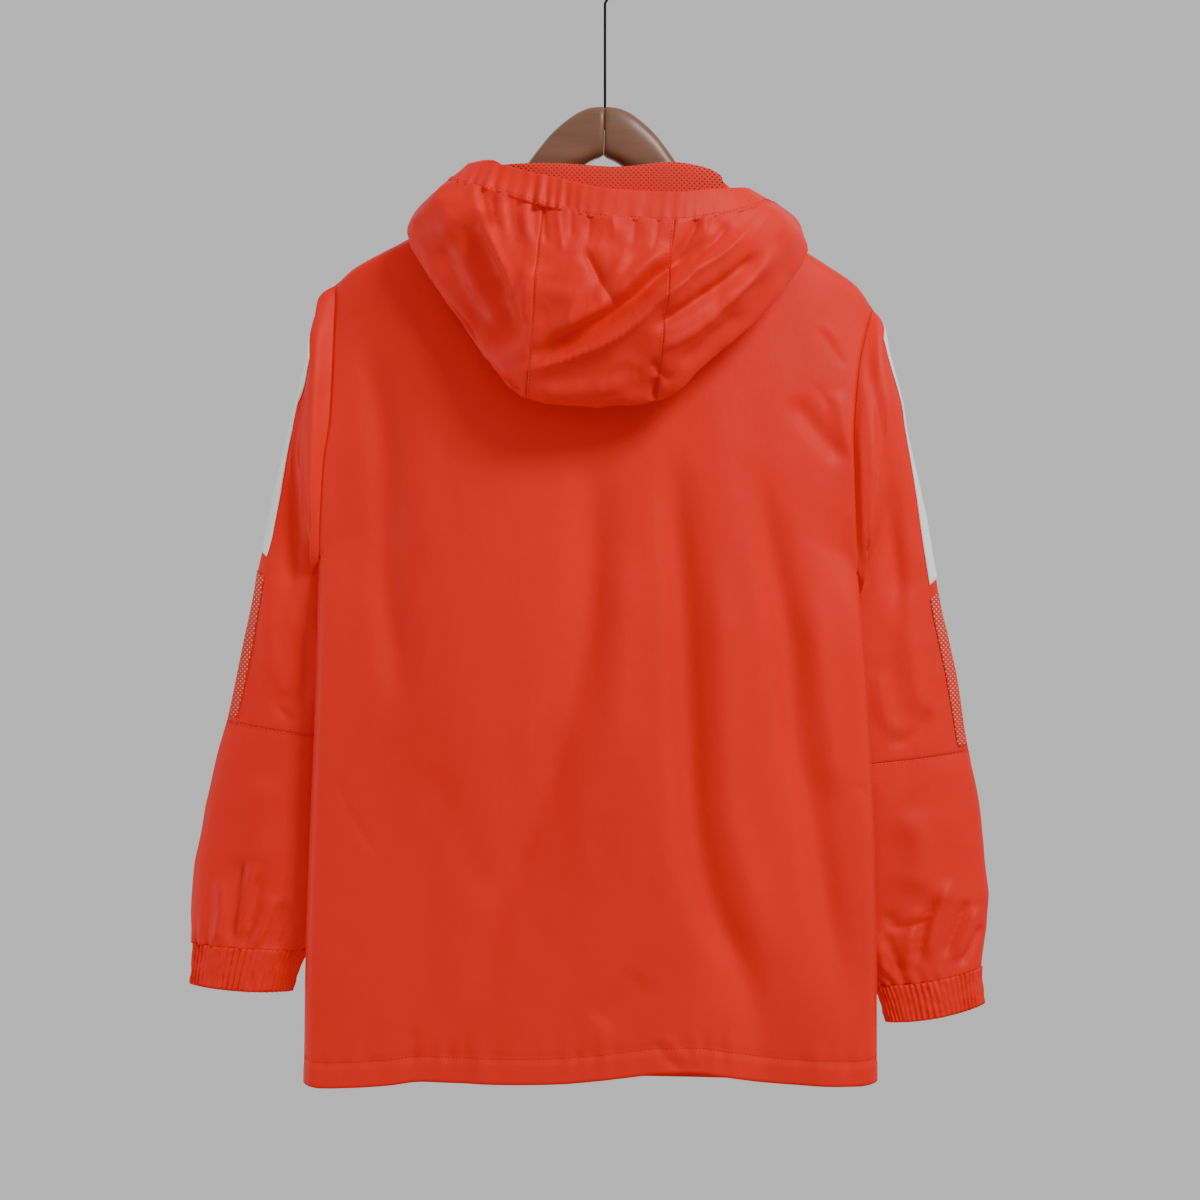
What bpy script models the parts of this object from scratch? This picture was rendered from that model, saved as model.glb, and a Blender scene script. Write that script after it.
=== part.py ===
"""Hooded windbreaker on a wooden hanger, hanging by the hanger's hook.

Metres, +Z up. The origin is the inside top of the hook's bend. The jacket's
back faces -Y and its zipped front faces +Y. Left and right are the wearer's,
so the left sleeve is at -X.

The jacket's lower edges, sleeves and hood are not mirror images: it hangs a
little lower on its right side. Every panel is a grid of points worked out
from the outlines below, then thickened to the inside with Solidify.
"""

import math

import bmesh
import bpy
import numpy as np
from mathutils import Matrix, Vector

# ---------------------------------------------------------------- driving sizes

CLOTH = 0.0012             # wall of a single layer of shell cloth
CASING_WALL = 0.0022       # hood casing: the cloth folded double
SEAM_INSET = 0.0005        # how far a sewn edge stops short of its seam line
LAY_GAP = 0.0005           # between a panel and what is laid on it

# Body. v runs down a side: 0 at the shoulder tip, 1 at the hem.
UNDERARM_V = 0.348
SHOULDER_TIP_Z = {-1: -0.3005, 1: -0.3222}
SIDE_HEM_Z = {-1: -0.9985, 1: -0.9975}
# v, left edge x, right edge x
SIDE_EDGES = (
    (0.000, -0.2366, 0.2358),
    (0.080, -0.2372, 0.2215),
    (0.174, -0.2395, 0.2160),
    (0.230, -0.2450, 0.2172),
    (0.348, -0.2492, 0.2205),
    (0.500, -0.2518, 0.2284),
    (0.700, -0.2573, 0.2349),
    (0.850, -0.2608, 0.2366),
    (1.000, -0.2620, 0.2366),
)
# x, z of the shoulder line outside the neck
SHOULDER_LINE = (
    (-0.2366, -0.3005),
    (-0.2175, -0.2848),
    (-0.1710, -0.2627),
    (-0.1280, -0.2370),
    (-0.0850, -0.2125),
    (0.0850, -0.2165),
    (0.1280, -0.2430),
    (0.1766, -0.2744),
    (0.2219, -0.3031),
    (0.2358, -0.3222),
)
# x, z of the back panel's hem
BACK_HEM = (
    (-0.2620, -0.9985),
    (-0.2480, -1.0015),
    (-0.1800, -0.9975),
    (-0.1550, -0.9950),
    (-0.1170, -0.9965),
    (-0.0390, -0.9950),
    (0.0130, -0.9900),
    (0.0650, -0.9858),
    (0.1175, -0.9920),
    (0.1436, -0.9960),
    (0.2219, -1.0005),
    (0.2366, -0.9975),
)
FRONT_HEM_Z = -0.9980
BODY_HALF = 0.24           # about half of the body's width
TIP_X = 0.222              # where the shoulders have come forward by SHOULDER_SWEEP
ZIP_LINE_HEM_X = -0.0125   # the front's middle drifts to the left on its way down
NECK_HALF_WIDTH = 0.085
NECK_BACK_DEPTH = 0.035
NECK_FRONT_DEPTH = 0.038
NECK_BACK_DROP = 0.0225
NECK_FRONT_DROP = 0.0775
ARMHOLE_HALF_DEPTH = 0.013
SHOULDER_SWEEP = 0.026     # how far the shoulder tips come forward
SWEEP_FADE = 6.0           # how fast that dies out down the side
SHOULDER_ROUND = 0.014     # how far below a shoulder seam the cloth is full depth
SIDE_ROUND = 0.012         # how far in from a side seam it is
ARMHOLE_ROUND = 0.060      # and how far in from an armhole
NECK_FALL = 0.090          # how far below the neck its opening dies out
FOLDED_FADE = 0.06         # v over which the shoulder's fold gives way to the armhole
UNDERARM_FADE = 0.04       # v over which the armhole gives way to the side's fold
# v, depth near the side and bulge in the middle: of the back, then of the front
DEPTHS = (
    (0.00, 0.012, 0.004, 0.012, 0.004),
    (0.15, 0.011, 0.013, 0.010, 0.021),
    (0.35, 0.010, 0.022, 0.006, 0.027),
    (0.70, 0.010, 0.021, 0.006, 0.026),
    (1.00, 0.010, 0.018, 0.006, 0.022),
)
# Long soft folds of the back: width, depth, then x at each of FOLD_HEIGHTS
FOLD_HEIGHTS = (-0.35, -0.50, -0.65, -0.80, -0.90, -0.99)
BACK_FOLDS = (
    (0.030, 0.0045, (-0.196, -0.196, -0.180, -0.160, -0.150, -0.150)),
    (0.032, 0.0055, (0.000, -0.008, -0.018, -0.055, -0.095, -0.125)),
    (0.026, 0.0050, (0.055, 0.066, 0.074, 0.086, 0.115, 0.150)),
    (0.022, 0.0040, (0.120, 0.140, 0.164, 0.195, 0.212, 0.222)),
)
FOLD_START = 0.20          # v where the back's folds begin
FOLD_FADE = 0.20           # and over how much of v they deepen

# The panels' grid
FIRST_ROW_V = 0.0022       # the row just below the shoulder seam
ROWS_BELOW_ARM = 11
EDGE_FRACTIONS = (0.010, 0.029, 0.062)   # columns close to a side edge
BACK_COLUMNS = 9           # of each half, from the last of those to the middle
FRONT_COLUMNS = 7

# Sleeves: rings from the armhole to the elbow seam, then to the cuff.
# Each ring: outer x, z; middle x, z; inner x, z; outer, middle, inner y; half depth
LEFT_SLEEVE = (
    (0.2519, -0.3155, 0.2545, -0.4350, 0.2565, -0.5560, 0.024, 0.006, 0.014, 0.018),
    (0.2563, -0.3419, 0.2615, -0.4550, 0.2475, -0.5740, 0.023, 0.014, 0.034, 0.022),
    (0.2650, -0.3800, 0.2670, -0.4850, 0.2230, -0.5960, 0.022, 0.026, 0.040, 0.022),
    (0.2759, -0.4251, 0.2625, -0.5200, 0.1980, -0.6140, 0.022, 0.036, 0.042, 0.024),
    (0.2903, -0.4865, 0.2500, -0.5600, 0.1830, -0.6320, 0.025, 0.040, 0.042, 0.024),
    (0.3013, -0.5401, 0.2450, -0.5950, 0.1770, -0.6500, 0.029, 0.040, 0.042, 0.024),
    (0.3123, -0.5877, 0.2460, -0.6300, 0.1760, -0.6680, 0.032, 0.040, 0.042, 0.024),
    (0.3240, -0.6420, 0.2520, -0.6670, 0.1800, -0.6860, 0.035, 0.040, 0.042, 0.024),
    (0.3340, -0.6850, 0.2600, -0.6970, 0.1860, -0.7000, 0.037, 0.040, 0.041, 0.024),
    (0.3457, -0.7292, 0.2690, -0.7370, 0.1900, -0.7420, 0.037, 0.039, 0.040, 0.024),
    (0.3560, -0.7800, 0.2780, -0.7850, 0.1990, -0.7900, 0.036, 0.037, 0.038, 0.023),
    (0.3625, -0.8200, 0.2870, -0.8260, 0.2120, -0.8320, 0.034, 0.035, 0.036, 0.022),
    (0.3645, -0.8519, 0.2970, -0.8560, 0.2300, -0.8600, 0.031, 0.032, 0.033, 0.020),
    (0.3625, -0.8807, 0.3125, -0.8845, 0.2625, -0.8864, 0.028, 0.028, 0.029, 0.017),
    (0.3651, -0.9159, 0.3210, -0.9210, 0.2762, -0.9225, 0.026, 0.026, 0.027, 0.016),
)
RIGHT_SLEEVE = (
    (0.2432, -0.3350, 0.2330, -0.4500, 0.2260, -0.5690, 0.024, 0.006, 0.013, 0.018),
    (0.2490, -0.3580, 0.2400, -0.4680, 0.2140, -0.5860, 0.023, 0.013, 0.028, 0.022),
    (0.2575, -0.3900, 0.2430, -0.4950, 0.1930, -0.6070, 0.022, 0.025, 0.038, 0.024),
    (0.2645, -0.4260, 0.2415, -0.5270, 0.1720, -0.6260, 0.022, 0.036, 0.042, 0.024),
    (0.2770, -0.4860, 0.2290, -0.5670, 0.1580, -0.6450, 0.025, 0.040, 0.042, 0.024),
    (0.2875, -0.5400, 0.2240, -0.6040, 0.1530, -0.6660, 0.029, 0.040, 0.042, 0.024),
    (0.2965, -0.5880, 0.2270, -0.6400, 0.1540, -0.6880, 0.032, 0.040, 0.042, 0.024),
    (0.3085, -0.6400, 0.2330, -0.6830, 0.1600, -0.7080, 0.035, 0.040, 0.042, 0.024),
    (0.3205, -0.7120, 0.2450, -0.7215, 0.1700, -0.7270, 0.037, 0.040, 0.041, 0.024),
    (0.3290, -0.7500, 0.2520, -0.7580, 0.1740, -0.7640, 0.037, 0.039, 0.040, 0.024),
    (0.3346, -0.7996, 0.2580, -0.8060, 0.1800, -0.8120, 0.036, 0.037, 0.038, 0.023),
    (0.3385, -0.8400, 0.2630, -0.8490, 0.1890, -0.8570, 0.034, 0.035, 0.036, 0.022),
    (0.3375, -0.8650, 0.2680, -0.8780, 0.2000, -0.8880, 0.031, 0.032, 0.033, 0.020),
    (0.3309, -0.9018, 0.2840, -0.9130, 0.2375, -0.9181, 0.028, 0.028, 0.029, 0.017),
    (0.3335, -0.9335, 0.2910, -0.9445, 0.2476, -0.9498, 0.026, 0.026, 0.027, 0.016),
)
ELBOW_RING = 9             # ring 0 is the armhole
CUFF_RING = 14
END_RING = 15
RING_SIDES = 20
CUFF_GATHERS = 28
CUFF_GATHER_DEPTH = 0.0008
CUFF_WALL = 0.0014
UPPER_ROWS = 13
LOWER_ROWS = 9
CUFF_ROWS = 3
# What is laid on a sleeve: steps round it from the outer ridge, and rings along it
TAPE_STEPS = (-1.5, 1.5)
TAPE_RINGS = {-1: (1.6, 5.9), 1: (1.2, 6.4)}
MESH_STEPS = (0.5, 1.6)
MESH_RINGS = {-1: (6.25, 8.9), 1: (6.65, 8.9)}
STRIP_WALL = 0.0010
STRIP_GAP = 0.0009         # between a sleeve and its strips
LEAST_STEP = 0.05          # a strip's end points lie this far from the sleeve's own

# Hood. w runs round the neck: -1 at the left of the zip, 0 at the back, 1 at the
# right of the zip. At each w: top fold, outer fold and face edge (x, y, z each).
HOOD_STATIONS = (
    (-1.00, (-0.010, 0.056, -0.282), (-0.011, 0.059, -0.273), (-0.012, 0.057, -0.262)),
    (-0.80, (-0.066, 0.050, -0.240), (-0.080, 0.052, -0.234), (-0.068, 0.052, -0.218)),
    (-0.65, (-0.104, 0.016, -0.211), (-0.138, 0.012, -0.228), (-0.096, 0.024, -0.193)),
    (-0.50, (-0.098, -0.022, -0.2085), (-0.169, -0.024, -0.2625), (-0.116, -0.036, -0.2062)),
    (-0.38, (-0.076, -0.040, -0.2080), (-0.127, -0.048, -0.333), (-0.090, -0.062, -0.2110)),
    (-0.25, (-0.044, -0.044, -0.2085), (-0.066, -0.068, -0.408), (-0.050, -0.083, -0.2235)),
    (0.00, (0.008, -0.045, -0.2115), (-0.017, -0.070, -0.4148), (0.006, -0.094, -0.2365)),
    (0.25, (0.058, -0.043, -0.2076), (0.043, -0.068, -0.4106), (0.060, -0.092, -0.2385)),
    (0.38, (0.088, -0.037, -0.2120), (0.096, -0.058, -0.368), (0.090, -0.082, -0.2345)),
    (0.50, (0.107, -0.024, -0.2245), (0.172, -0.026, -0.277), (0.119, -0.056, -0.2300)),
    (0.65, (0.100, 0.016, -0.2210), (0.150, 0.014, -0.240), (0.124, 0.020, -0.214)),
    (0.80, (0.066, 0.050, -0.244), (0.082, 0.052, -0.240), (0.072, 0.052, -0.226)),
    (1.00, (0.010, 0.056, -0.282), (0.011, 0.059, -0.273), (0.012, 0.057, -0.262)),
)
HOOD_SEAM_W = 0.25
HOOD_SEAM_GAP_W = 0.0016
HOOD_END_W = 0.998
HOOD_NEAR_BULGE = 0.026    # how far the outer layer stands off a straight line
HOOD_FAR_BULGE = 0.004
HOOD_HANG = (0.72, 0.42)    # |w| where the hood begins to hang down, and hangs fully
HOOD_KNOTS = (0.0, 0.14, 0.32, 0.52, 0.76, 1.0)
HOOD_START = 0.019         # along the hood's cloth, from neck seam to face edge
HOOD_ROWS = 20
HOOD_CENTRE_COLUMNS = 11
HOOD_SIDE_COLUMNS = 14
CASING_WIDTH = 0.025
CASING_MOST = 0.55         # of the outer layer, where that is narrow
CASING_GAP = 0.0025
PUCKER_DEPTH = 0.0010
LINING_COLUMNS = 4         # columns of each side panel that the lining covers
LINING_ROWS = 10
LINING_WALL = 0.0010

# Zip down the front
ZIP_EDGE = 0.0085          # from the zip's middle to the panel's edge
CHAIN_HALF = 0.0029
CHAIN_WALL = 0.0024
CHAIN_PROUD = 0.0007       # the teeth stand this far above the tapes
ZIP_TAPE_INNER = 0.0032
ZIP_TAPE_OUTER = 0.0165
ZIP_TAPE_WALL = 0.0010
ZIP_TOP_ROW = 2            # the zip's top is in the panels' rows after this one,
ZIP_TOP_SHARE = 0.26       # this far towards the next
SLIDER_DROP = 0.0005       # the slider's middle below the teeth's top
SLIDER_SIZE = (0.0100, 0.0014, 0.0120)
SLIDER_GAP = 0.0030        # between its two plates
SLIDER_POST = (0.0022, 0.0040, 0.0030)
SLIDER_POST_Z = 0.0040
BRIDGE_HALF = 0.0015       # half of the bridge's opening
BRIDGE_WALL = 0.0012
BRIDGE_WIDTH = 0.0024
LEG_SUNK = 0.0006          # the bridge's legs start this deep in the front plate
PULL_WIDTH = 0.0078
PULL_LENGTH = 0.0300
PULL_WALL = 0.0013
PULL_BAR = 0.0006          # half height of the bar under the bridge
PULL_WINDOW = (0.0046, 0.0062)

# Hanger
WIRE_RADIUS = 0.0012
HOOK_RADIUS = 0.0210       # inside radius of the hook's bend
HOOK_TIP_ANGLE = 215       # degrees round the bend, from the stem's side to the tip
HOOK_STEPS = 17            # points of the wire round the bend
SWING_KNOTS = (0.0, 0.35, 0.7, 1.0)   # where the wire swings out from stem to bend,
SWING_LOW = (0.006, 0.011)            # past a point this far out and up from the stem
SWING_HIGH = (0.003, 0.010)           # and one this far in and down from the bend
SWING_STEPS = 9
STEM_TOP_Z = -0.060
STEM_FOOT_Z = -0.170       # the stem ends in a bore between the two arms
BORE_RADIUS = 0.0015
BORE_SPARE = 0.0003        # the bore is this much deeper than the stem
BORE_SIDES = 16
HANGER_TILT = math.radians(1.45)
HANGER_TOP_Z = -0.150
ARM_END_GAP = 0.00015
ARM_SIDES = 12
ARM_SQUARENESS = 0.8       # 1 gives a plain oval section
# x, top z, underside z, thickness; the same for both arms
HANGER_ARM = (
    (0.0000, -0.1500, -0.1935, 0.0240),
    (0.0100, -0.1508, -0.1975, 0.0240),
    (0.0200, -0.1540, -0.2040, 0.0240),
    (0.0335, -0.1630, -0.2125, 0.0236),
    (0.0460, -0.1745, -0.2200, 0.0230),
    (0.0560, -0.1870, -0.2260, 0.0220),
    (0.0700, -0.2054, -0.2362, 0.0190),
    (0.0900, -0.2224, -0.2494, 0.0158),
    (0.1300, -0.2455, -0.2700, 0.0150),
    (0.1750, -0.2732, -0.2940, 0.0135),
    (0.2050, -0.2897, -0.3090, 0.0125),
    (0.2160, -0.2985, -0.3090, 0.0100),
)

RED = (0.62, 0.045, 0.028)
DEEP_RED = (0.50, 0.030, 0.020)
WHITE = (0.86, 0.86, 0.84)
PINK = (0.78, 0.22, 0.17)
WOOD = (0.24, 0.105, 0.050)
BLACK = (0.012, 0.012, 0.013)
STEEL = (0.55, 0.55, 0.56)

SIDES = {-1: "left", 1: "right"}


# ------------------------------------------------------------------ small tools

def slopes_at(knots, values):
    """Slopes that carry a curve through its values without overshooting them."""
    steps = np.diff(knots).reshape((-1,) + (1,) * (values.ndim - 1))
    rises = np.diff(values, axis=0) / steps
    before, after = rises[:-1], rises[1:]
    same_way = before * after > 0
    total = np.where(same_way, before + after, 1.0)
    inner = np.where(same_way, 2 * before * after / total, 0.0)
    return np.concatenate((rises[:1], inner, rises[-1:]))


def smooth(knots, values, at):
    """A smooth curve through the values at the knots, read at one place."""
    knots = np.asarray(knots, float)
    values = np.asarray(values, float)
    slopes = slopes_at(knots, values)
    at = min(max(at, knots[0]), knots[-1])
    k = min(int(np.searchsorted(knots, at, side="right")) - 1, len(knots) - 2)
    span = knots[k + 1] - knots[k]
    f = (at - knots[k]) / span
    start = (1 + 2 * f) * (1 - f) ** 2 * values[k] + f * (1 - f) ** 2 * span * slopes[k]
    end = f * f * (3 - 2 * f) * values[k + 1] + f * f * (f - 1) * span * slopes[k + 1]
    return start + end


def column(table, index):
    return [row[index] for row in table]


def ease(f):
    f = min(max(f, 0.0), 1.0)
    return f * f * (3 - 2 * f)


def arc(f):
    """Quarter circle: rises straight up at 0 and is level at 1."""
    f = min(max(f, 0.0), 1.0)
    return math.sqrt(1 - (1 - f) ** 2)


def material(name, colour, roughness, metallic=0.0):
    mat = bpy.data.materials.new(name)
    mat.use_nodes = True
    surface = mat.node_tree.nodes["Principled BSDF"]
    surface.inputs["Base Color"].default_value = (*colour, 1.0)
    surface.inputs["Roughness"].default_value = roughness
    surface.inputs["Metallic"].default_value = metallic
    return mat


def add_object(name, mesh, mat):
    mesh.materials.append(mat)
    mesh.shade_smooth()
    obj = bpy.data.objects.new(name, mesh)
    PARTS.objects.link(obj)
    return obj


def grid_mesh(name, points, ring=False, facing=None):
    """Faces between neighbouring points; they face outward, or along facing."""
    points = np.asarray(points, float)
    rows, cols = points.shape[:2]
    bm = bmesh.new()
    verts = [[bm.verts.new(points[r, c]) for c in range(cols)] for r in range(rows)]
    for r in range(rows - 1):
        for c in range(cols if ring else cols - 1):
            d = (c + 1) % cols
            bm.faces.new((verts[r][c], verts[r][d], verts[r + 1][d], verts[r + 1][c]))
    bm.normal_update()
    middles = points.mean(axis=1)
    score = 0.0
    for index, face in enumerate(bm.faces):
        if facing is None:
            row = index // (cols if ring else cols - 1)
            away = face.calc_center_median() - Vector(middles[row])
        else:
            away = Vector(facing)
        score += face.normal.dot(away) * face.calc_area()
    if score < 0:
        bmesh.ops.reverse_faces(bm, faces=bm.faces[:])
    mesh = bpy.data.meshes.new(name)
    bm.to_mesh(mesh)
    bm.free()
    return mesh


def cloth(name, points, mat, wall=CLOTH, ring=False, facing=None, outward=False):
    """A wall of cloth on the inner side of a grid's faces, or on the outer side."""
    obj = add_object(name, grid_mesh(name, points, ring, facing), mat)
    solid = obj.modifiers.new("wall", "SOLIDIFY")
    solid.thickness = wall
    solid.offset = 1.0 if outward else -1.0
    return obj


def moved_out(points, distance, ring=False, facing=None):
    """The same grid, every point moved along the surface's own normal."""
    mesh = grid_mesh("guide", points, ring, facing)
    mesh.update()
    normals = np.array([v.normal[:] for v in mesh.vertices]).reshape(np.shape(points))
    bpy.data.meshes.remove(mesh)
    return np.asarray(points) + normals * distance


# ------------------------------------------------------------------------- body

def shoulder_z(x):
    return smooth(column(SHOULDER_LINE, 0), column(SHOULDER_LINE, 1), x)


def neck_side_z(x):
    """Height of the neck seam at the shoulders, as the hanger tilts it."""
    left = shoulder_z(-NECK_HALF_WIDTH)
    right = shoulder_z(NECK_HALF_WIDTH)
    return left + (right - left) * (x / NECK_HALF_WIDTH + 1) / 2


def neck_open(x):
    """1 in the middle of the neck, 0 at its sides and beyond."""
    return math.sqrt(max(0.0, 1 - (x / NECK_HALF_WIDTH) ** 2))


def top_z(x, drop):
    if abs(x) >= NECK_HALF_WIDTH:
        return shoulder_z(x)
    return neck_side_z(x) - drop * neck_open(x) ** 2


def side_x(side, v):
    return smooth(column(SIDE_EDGES, 0), column(SIDE_EDGES, 1 if side < 0 else 2), v)


def side_z(side, v):
    tip = SHOULDER_TIP_Z[side]
    return tip + (SIDE_HEM_Z[side] - tip) * v


def middle_y(x, v):
    """The plane between back and front, swept forward at the shoulders."""
    return SHOULDER_SWEEP * (x / TIP_X) ** 2 * math.exp(-SWEEP_FADE * v)


def armhole_depth(v):
    q = min(max(v / UNDERARM_V, 0.0), 1.0)
    return ARMHOLE_HALF_DEPTH * 2 * math.sqrt(q * (1 - q))


def fold_depth(x, z, v):
    """How deep the back's long folds are at this place."""
    depth = 0.0
    for width, deep, path in BACK_FOLDS:
        away = (x - smooth(FOLD_HEIGHTS[::-1], path[::-1], z)) / width
        depth += deep * math.exp(-away * away)
    return depth * ease((v - FOLD_START) / FOLD_FADE)


def body_depth(u, top_x, v, below_top, is_back):
    """How far back or front stands off the middle plane; u is -1 and 1 at the sides."""
    inward = 1 - abs(u)
    edge = inward * BODY_HALF
    row = smooth(column(DEPTHS, 0), [line[1:3] if is_back else line[3:5] for line in DEPTHS], v)
    shape = 1 - u * u if is_back else math.sin(inward * math.pi / 2) ** 2
    full = row[0] + row[1] * shape
    below_arm = ease((v - UNDERARM_V) / UNDERARM_FADE + 0.5)
    folded = max(below_arm, 1 - ease(v / FOLDED_FADE))
    side = folded * arc(edge / SIDE_ROUND) + (1 - folded) * ease(edge / ARMHOLE_ROUND)
    inner = armhole_depth(v) * (1 - side) + full * side
    neck = neck_open(top_x)
    at_top = max((NECK_BACK_DEPTH if is_back else NECK_FRONT_DEPTH) * neck, SEAM_INSET)
    blend = (1 - neck) * arc(below_top / SHOULDER_ROUND) + neck * ease(below_top / NECK_FALL)
    if inward < 1e-6:
        blend = 1.0
    return at_top + (inner - at_top) * blend


def back_point(f, v):
    """A point of the back panel, f of the way from its left side to its right."""
    top_x, x, hem_x = (side_x(-1, at) * (1 - f) + side_x(1, at) * f for at in (0, v, 1))
    top = top_z(top_x, NECK_BACK_DROP)
    z = top + (smooth(column(BACK_HEM, 0), column(BACK_HEM, 1), hem_x) - top) * v
    depth = body_depth(2 * f - 1, top_x, v, top - z, True) - fold_depth(x, z, v)
    return (x, middle_y(x, v) - depth, z)


def zip_x(v):
    """The front's middle line."""
    return ZIP_LINE_HEM_X * ease(v)


def front_x(side, f, v):
    """x on a front panel, f of the way from its side to the zip's middle line."""
    return side_x(side, v) * (1 - f) + zip_x(v) * f


def front_point(side, f, v):
    top_x, x = (front_x(side, f, at) for at in (0, v))
    top = top_z(top_x, NECK_FRONT_DROP)
    z = top + (SIDE_HEM_Z[side] * (1 - f) + FRONT_HEM_Z * f - top) * v
    return (x, middle_y(x, v) + body_depth(1 - f, top_x, v, top - z, False), z)


def row_values():
    """v of the grid's rows: the armhole's own steps, then even ones."""
    half = RING_SIDES // 2
    arm = [UNDERARM_V * (1 - math.cos(math.pi * j / half)) / 2 for j in range(half + 1)]
    below = list(np.linspace(UNDERARM_V, 1.0, ROWS_BELOW_ARM + 1))
    return [0.0, FIRST_ROW_V] + arm[1:] + below[1:]


def spread(end, count):
    """Fractions from a side edge inward to end, close together at the edge."""
    near = [SEAM_INSET / BODY_HALF, *EDGE_FRACTIONS]
    return near + list(np.linspace(near[-1], end, count))[1:]


def make_body(mat):
    rows = row_values()
    half = [f / 2 for f in spread(1.0, BACK_COLUMNS)]
    fractions = half + [1 - f for f in half[::-1][1:]]
    back = [[back_point(f, v) for f in fractions] for v in rows]
    cloth("back_panel", back, mat, facing=(0, -1, 0))
    zip_edge = 1 - ZIP_EDGE / BODY_HALF
    fronts = {}
    for side, label in SIDES.items():
        front = [[front_point(side, f, v) for f in spread(zip_edge, FRONT_COLUMNS)] for v in rows]
        cloth("front_" + label, front, mat, facing=(0, 1, 0))
        fronts[side] = front
    return fronts


# ---------------------------------------------------------------------- sleeves

def armhole_ring(side):
    ring = []
    for j in range(RING_SIDES):
        angle = 2 * math.pi * j / RING_SIDES
        v = UNDERARM_V * (1 - math.cos(angle)) / 2
        x = side_x(side, v)
        y = middle_y(x, v) - ARMHOLE_HALF_DEPTH * math.sin(angle)
        ring.append((x, y, side_z(side, v)))
    return ring


def sleeve_ring(side, row):
    out_x, out_z, mid_x, mid_z, in_x, in_z, out_y, mid_y, in_y, half_depth = row
    line = np.array(((out_x, out_y, out_z), (mid_x, mid_y, mid_z), (in_x, in_y, in_z)))
    ring = []
    for j in range(RING_SIDES):
        angle = 2 * math.pi * j / RING_SIDES
        q = (1 - math.cos(angle)) / 2
        weights = np.array(((1 - q) * (1 - 2 * q), 4 * q * (1 - q), q * (2 * q - 1)))
        x, y, z = weights @ line
        ring.append((side * x, y - half_depth * math.sin(angle), z))
    return ring


def sleeve_rings(side):
    table = LEFT_SLEEVE if side < 0 else RIGHT_SLEEVE
    return np.array([armhole_ring(side)] + [sleeve_ring(side, row) for row in table])


def sleeve_grid(rings, start, end, rows):
    """Rings at even steps between two of the sleeve's own rings."""
    knots = range(len(rings))
    return np.array([smooth(knots, rings, s) for s in np.linspace(start, end, rows)])


def inset_steps(rings, at):
    """How much of one ring step the seam inset takes at this ring."""
    step = np.linalg.norm(rings[at] - rings[at - 1], axis=1).mean()
    return SEAM_INSET / step


def between(grid, row, col):
    """A point of the grid's own facets at a fractional row and column."""
    r = min(int(row), grid.shape[0] - 2)
    c = math.floor(col)
    f, g = row - r, col - c
    a, b = c % grid.shape[1], (c + 1) % grid.shape[1]
    top = grid[r, a] * (1 - g) + grid[r, b] * g
    return top * (1 - f) + (grid[r + 1, a] * (1 - g) + grid[r + 1, b] * g) * f


def whole_steps(start, end):
    """The start, the whole numbers clear of both ends, and the end."""
    first = math.ceil(start + LEAST_STEP)
    last = math.floor(end - LEAST_STEP)
    return [start] + list(range(first, last + 1)) + [end]


def laid_strip(grid, rows, cols):
    """A strip laid on a sleeve, made from the sleeve's own points moved out."""
    raised = moved_out(grid, STRIP_GAP, ring=True)
    return [[between(raised, r, c) for c in whole_steps(*cols)] for r in whole_steps(*rows)]


def make_sleeve(side, red, white, pink):
    label = SIDES[side]
    rings = sleeve_rings(side)
    start = inset_steps(rings, 1)
    end = ELBOW_RING - inset_steps(rings, ELBOW_RING)
    upper = sleeve_grid(rings, start, end, UPPER_ROWS)
    cloth("sleeve_upper_" + label, upper, red, ring=True)
    below = ELBOW_RING + inset_steps(rings, ELBOW_RING + 1)
    lower = sleeve_grid(rings, below, CUFF_RING - inset_steps(rings, CUFF_RING), LOWER_ROWS)
    cloth("sleeve_lower_" + label, lower, red, ring=True)
    make_cuff(side, rings, red)
    per_ring = (UPPER_ROWS - 1) / (end - start)
    out = (side, 0, 0)
    for name, ends, steps, mat in (("sleeve_tape_", TAPE_RINGS, TAPE_STEPS, white),
                                   ("sleeve_mesh_", MESH_RINGS, MESH_STEPS, pink)):
        rows = [(ring - start) * per_ring for ring in ends[side]]
        strip = laid_strip(upper, rows, steps)
        cloth(name + label, strip, mat, STRIP_WALL, facing=out, outward=True)


def make_cuff(side, rings, mat):
    """Elastic cuff: gathers run round it as small waves."""
    start = CUFF_RING + inset_steps(rings, END_RING)
    grid = sleeve_grid(rings, start, END_RING, CUFF_ROWS)
    count = 2 * CUFF_GATHERS
    points = np.empty((len(grid), count, 3))
    for r, ring in enumerate(grid):
        middle = ring.mean(axis=0)
        closed = np.concatenate((ring[-1:], ring, ring[:2]))
        for c in range(count):
            point = smooth(range(len(closed)), closed, 1 + c * RING_SIDES / count)
            away = (point - middle) / np.linalg.norm(point - middle)
            wave = CUFF_GATHER_DEPTH * (1 if c % 2 else -1)
            points[r, c] = point + away * wave
    cloth("cuff_" + SIDES[side], points, mat, CUFF_WALL, ring=True)


# ------------------------------------------------------------------------- hood

def neck_point(w):
    """A place on the neck seam."""
    angle = math.pi * w
    reach = max(NECK_HALF_WIDTH * abs(math.sin(angle)), ZIP_EDGE if abs(w) > 0.5 else 0.0)
    x = math.copysign(reach, w)
    neck = neck_open(x)
    behind = abs(w) < 0.5
    depth = -NECK_BACK_DEPTH if behind else NECK_FRONT_DEPTH
    drop = NECK_BACK_DROP if behind else NECK_FRONT_DROP
    return (x, middle_y(x, 0) + depth * neck, neck_side_z(x) - drop * neck ** 2)


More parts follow.
